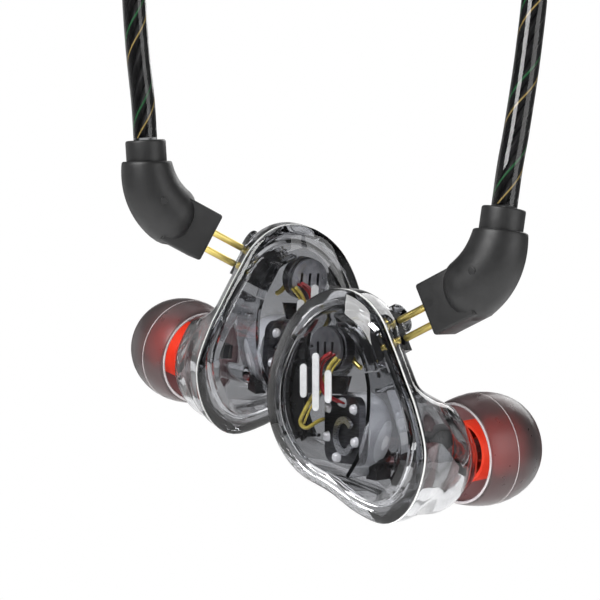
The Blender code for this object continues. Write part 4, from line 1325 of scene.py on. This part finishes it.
def make_jack():
    """Ribbed strain relief, grip, and a three-pole plug with dark insulator rings."""
    boot = [(0, 0), (1.3, 0), (1.42, -0.12)]
    for index in range(6):
        radius = 1.45 + 0.09 * index
        height = -0.5 - 1.15 * index
        boot += [(radius, height), (radius + 0.04, height - 0.55), (radius - 0.22, height - 0.62)]
        boot += [(radius - 0.2, height - 1.0)]
    boot += [(2.0, -7.5), (2.0, -8.0), (0, -8.0)]
    grip = [(0, -8.3), (2.4, -8.3), (2.62, -8.38), (2.88, -8.7), (3.0, -9.2)]
    for index in range(5):
        height = -11.4 - 1.3 * index
        grip += [(3.0, height), (2.86, height - 0.12), (2.86, height - 0.5), (3.0, height - 0.62)]
    grip += [(3.0, -21.9), (2.92, -22.3), (2.7, -22.55), (2.4, -22.6), (0, -22.6)]
    sleeve = ((0, -22.9), (1.6, -22.9), (1.75, -23.05), (1.75, -29.5), (1.68, -29.6), (0, -29.6))
    ring = ((0, -29.9), (1.68, -29.9), (1.75, -29.98), (1.75, -32.32), (1.68, -32.4), (0, -32.4))
    tip = (
        (0, -32.7), (1.35, -32.7), (1.6, -33.0), (1.72, -33.4), (1.75, -33.8), (1.75, -34.3), (1.66, -34.6),
        (1.45, -34.9), (1.25, -35.2), (1.0, -35.8), (0.75, -36.25), (0.5, -36.55), (0, -36.7),
    )
    place = Matrix.Scale(MM, 4) @ Matrix.Translation(JACK_TOP)
    pieces = []
    for name, profile, material, node, slot in (
        ("jack_strain_relief", boot, "gloss", "jack_boot", "black_plastic"),
        ("jack_grip", grip, "plug", "jack_body", "black_plastic"),
        ("jack_sleeve_contact", sleeve, "gold", "jack_sleeve", "gold"),
        ("jack_ring_contact", ring, "gold", "jack_ring", "gold"),
        ("jack_tip_contact", tip, "gold", "jack_tip", "gold"),
    ):
        piece = add_piece(name, *turned(profile, 56), place, MATERIALS[material], "harness", 35.0)
        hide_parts(node)
        pieces.append(piece)
    for index, (high, low) in enumerate(((-22.55, -22.95), (-29.55, -29.95), (-32.35, -32.75))):
        band = ((0, high), (1.7, high), (1.7, low), (0, low))
        name = f"jack_insulator_{index + 1}"
        piece = add_piece(name, *turned(band, 56), place, MATERIALS["gloss"], "harness", 35.0)
        pieces.append(piece)
    return pieces


def make_tie():
    """Strap wrapped round the coil's top, its free end lapped over the front."""
    half_width, thickness, lap = 3.5, 0.3, 0.36
    wide, low, high = 4.2, 5.8, 6.35
    steps, taper_from = 96, 92
    centre = COIL_CENTRE + Vector((0, 0, COIL_RADIUS))
    path = []
    for index in range(steps + 1):
        angle = math.radians(-150 + 420 * index / steps)
        extra = lap * index / steps
        tall = (high if math.sin(angle) > 0 else low) + extra
        path.append(Vector((0, -(wide + extra) * math.cos(angle), tall * math.sin(angle))))
    verts = []
    for index, spot in enumerate(path):
        outward = spot.normalized() * thickness / 2
        width = half_width * (1.0 - 0.1 * max(0, index - taper_from))
        rough = 0.04 * noise.noise(spot * 1.7)
        for across, lift in ((-width, 1), (width, 1), (width, -1), (-width, -1)):
            verts.append(spot + outward * lift * (1 + rough) + Vector((across + rough, 0, 0)))
    faces = grid_faces(len(path), 4)
    place = Matrix.Scale(MM, 4) @ Matrix.Translation(centre)
    strap = add_piece("tie_strap", verts, faces, place, MATERIALS["strap"], "harness", 30.0)
    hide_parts("coil_tie")
    return strap


def finish_frame():
    """Procedural finishes for the CAD's own pieces that stay in view."""
    finishes = {
        "driver_plate": "dark", "driver_ring": "silver", "driver_magnet": "silver",
        "driver_diaphragm": "mesh", "tweeter_body": "dark", "tweeter_plate": "disc", "socket": "socket",
        "nozzle_damper": "foam", "nozzle_mesh": "mesh",
    }
    for name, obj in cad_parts.items():
        for ending, finish in finishes.items():
            if name.endswith(f"_{ending}"):
                for slot in obj.material_slots:
                    slot.material = MATERIALS[finish]


make_materials()
make_studio()
finish_frame()
for side in ("right", "left"):
    earpiece = f"{side}_earpiece"
    stand = stand_matrix(side)
    make_shell(side, stand, earpiece)
    make_faceplate(side, stand, earpiece)
    make_driver(side, stand, earpiece)
    make_wires(side, stand, earpiece)
    make_cradle(side, stand, earpiece)
    make_sound_path(side, stand, earpiece)
    make_inner_walls(side, stand, earpiece)
    make_contact_spring(side, stand, earpiece)
    make_mark(side, stand, earpiece)
    make_ear_tip(side, stand, f"{side}_ear_tip")
    make_plug_block(side, stand)
    make_elbow(side, stand)
    make_side_mark(side, stand)
    make_pins(side, stand)
    make_collar(side, stand)
SLEEVES = {side: make_sleeve(side) for side in ("right", "left")}
CORDS = make_cords()
make_cinch()
SPLIT = make_split()
JACK = make_jack()
TIE = make_tie()
for side in ("right", "left"):
    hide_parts(f"{side}_cable", "coil")
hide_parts("trunk_cable", "coil")
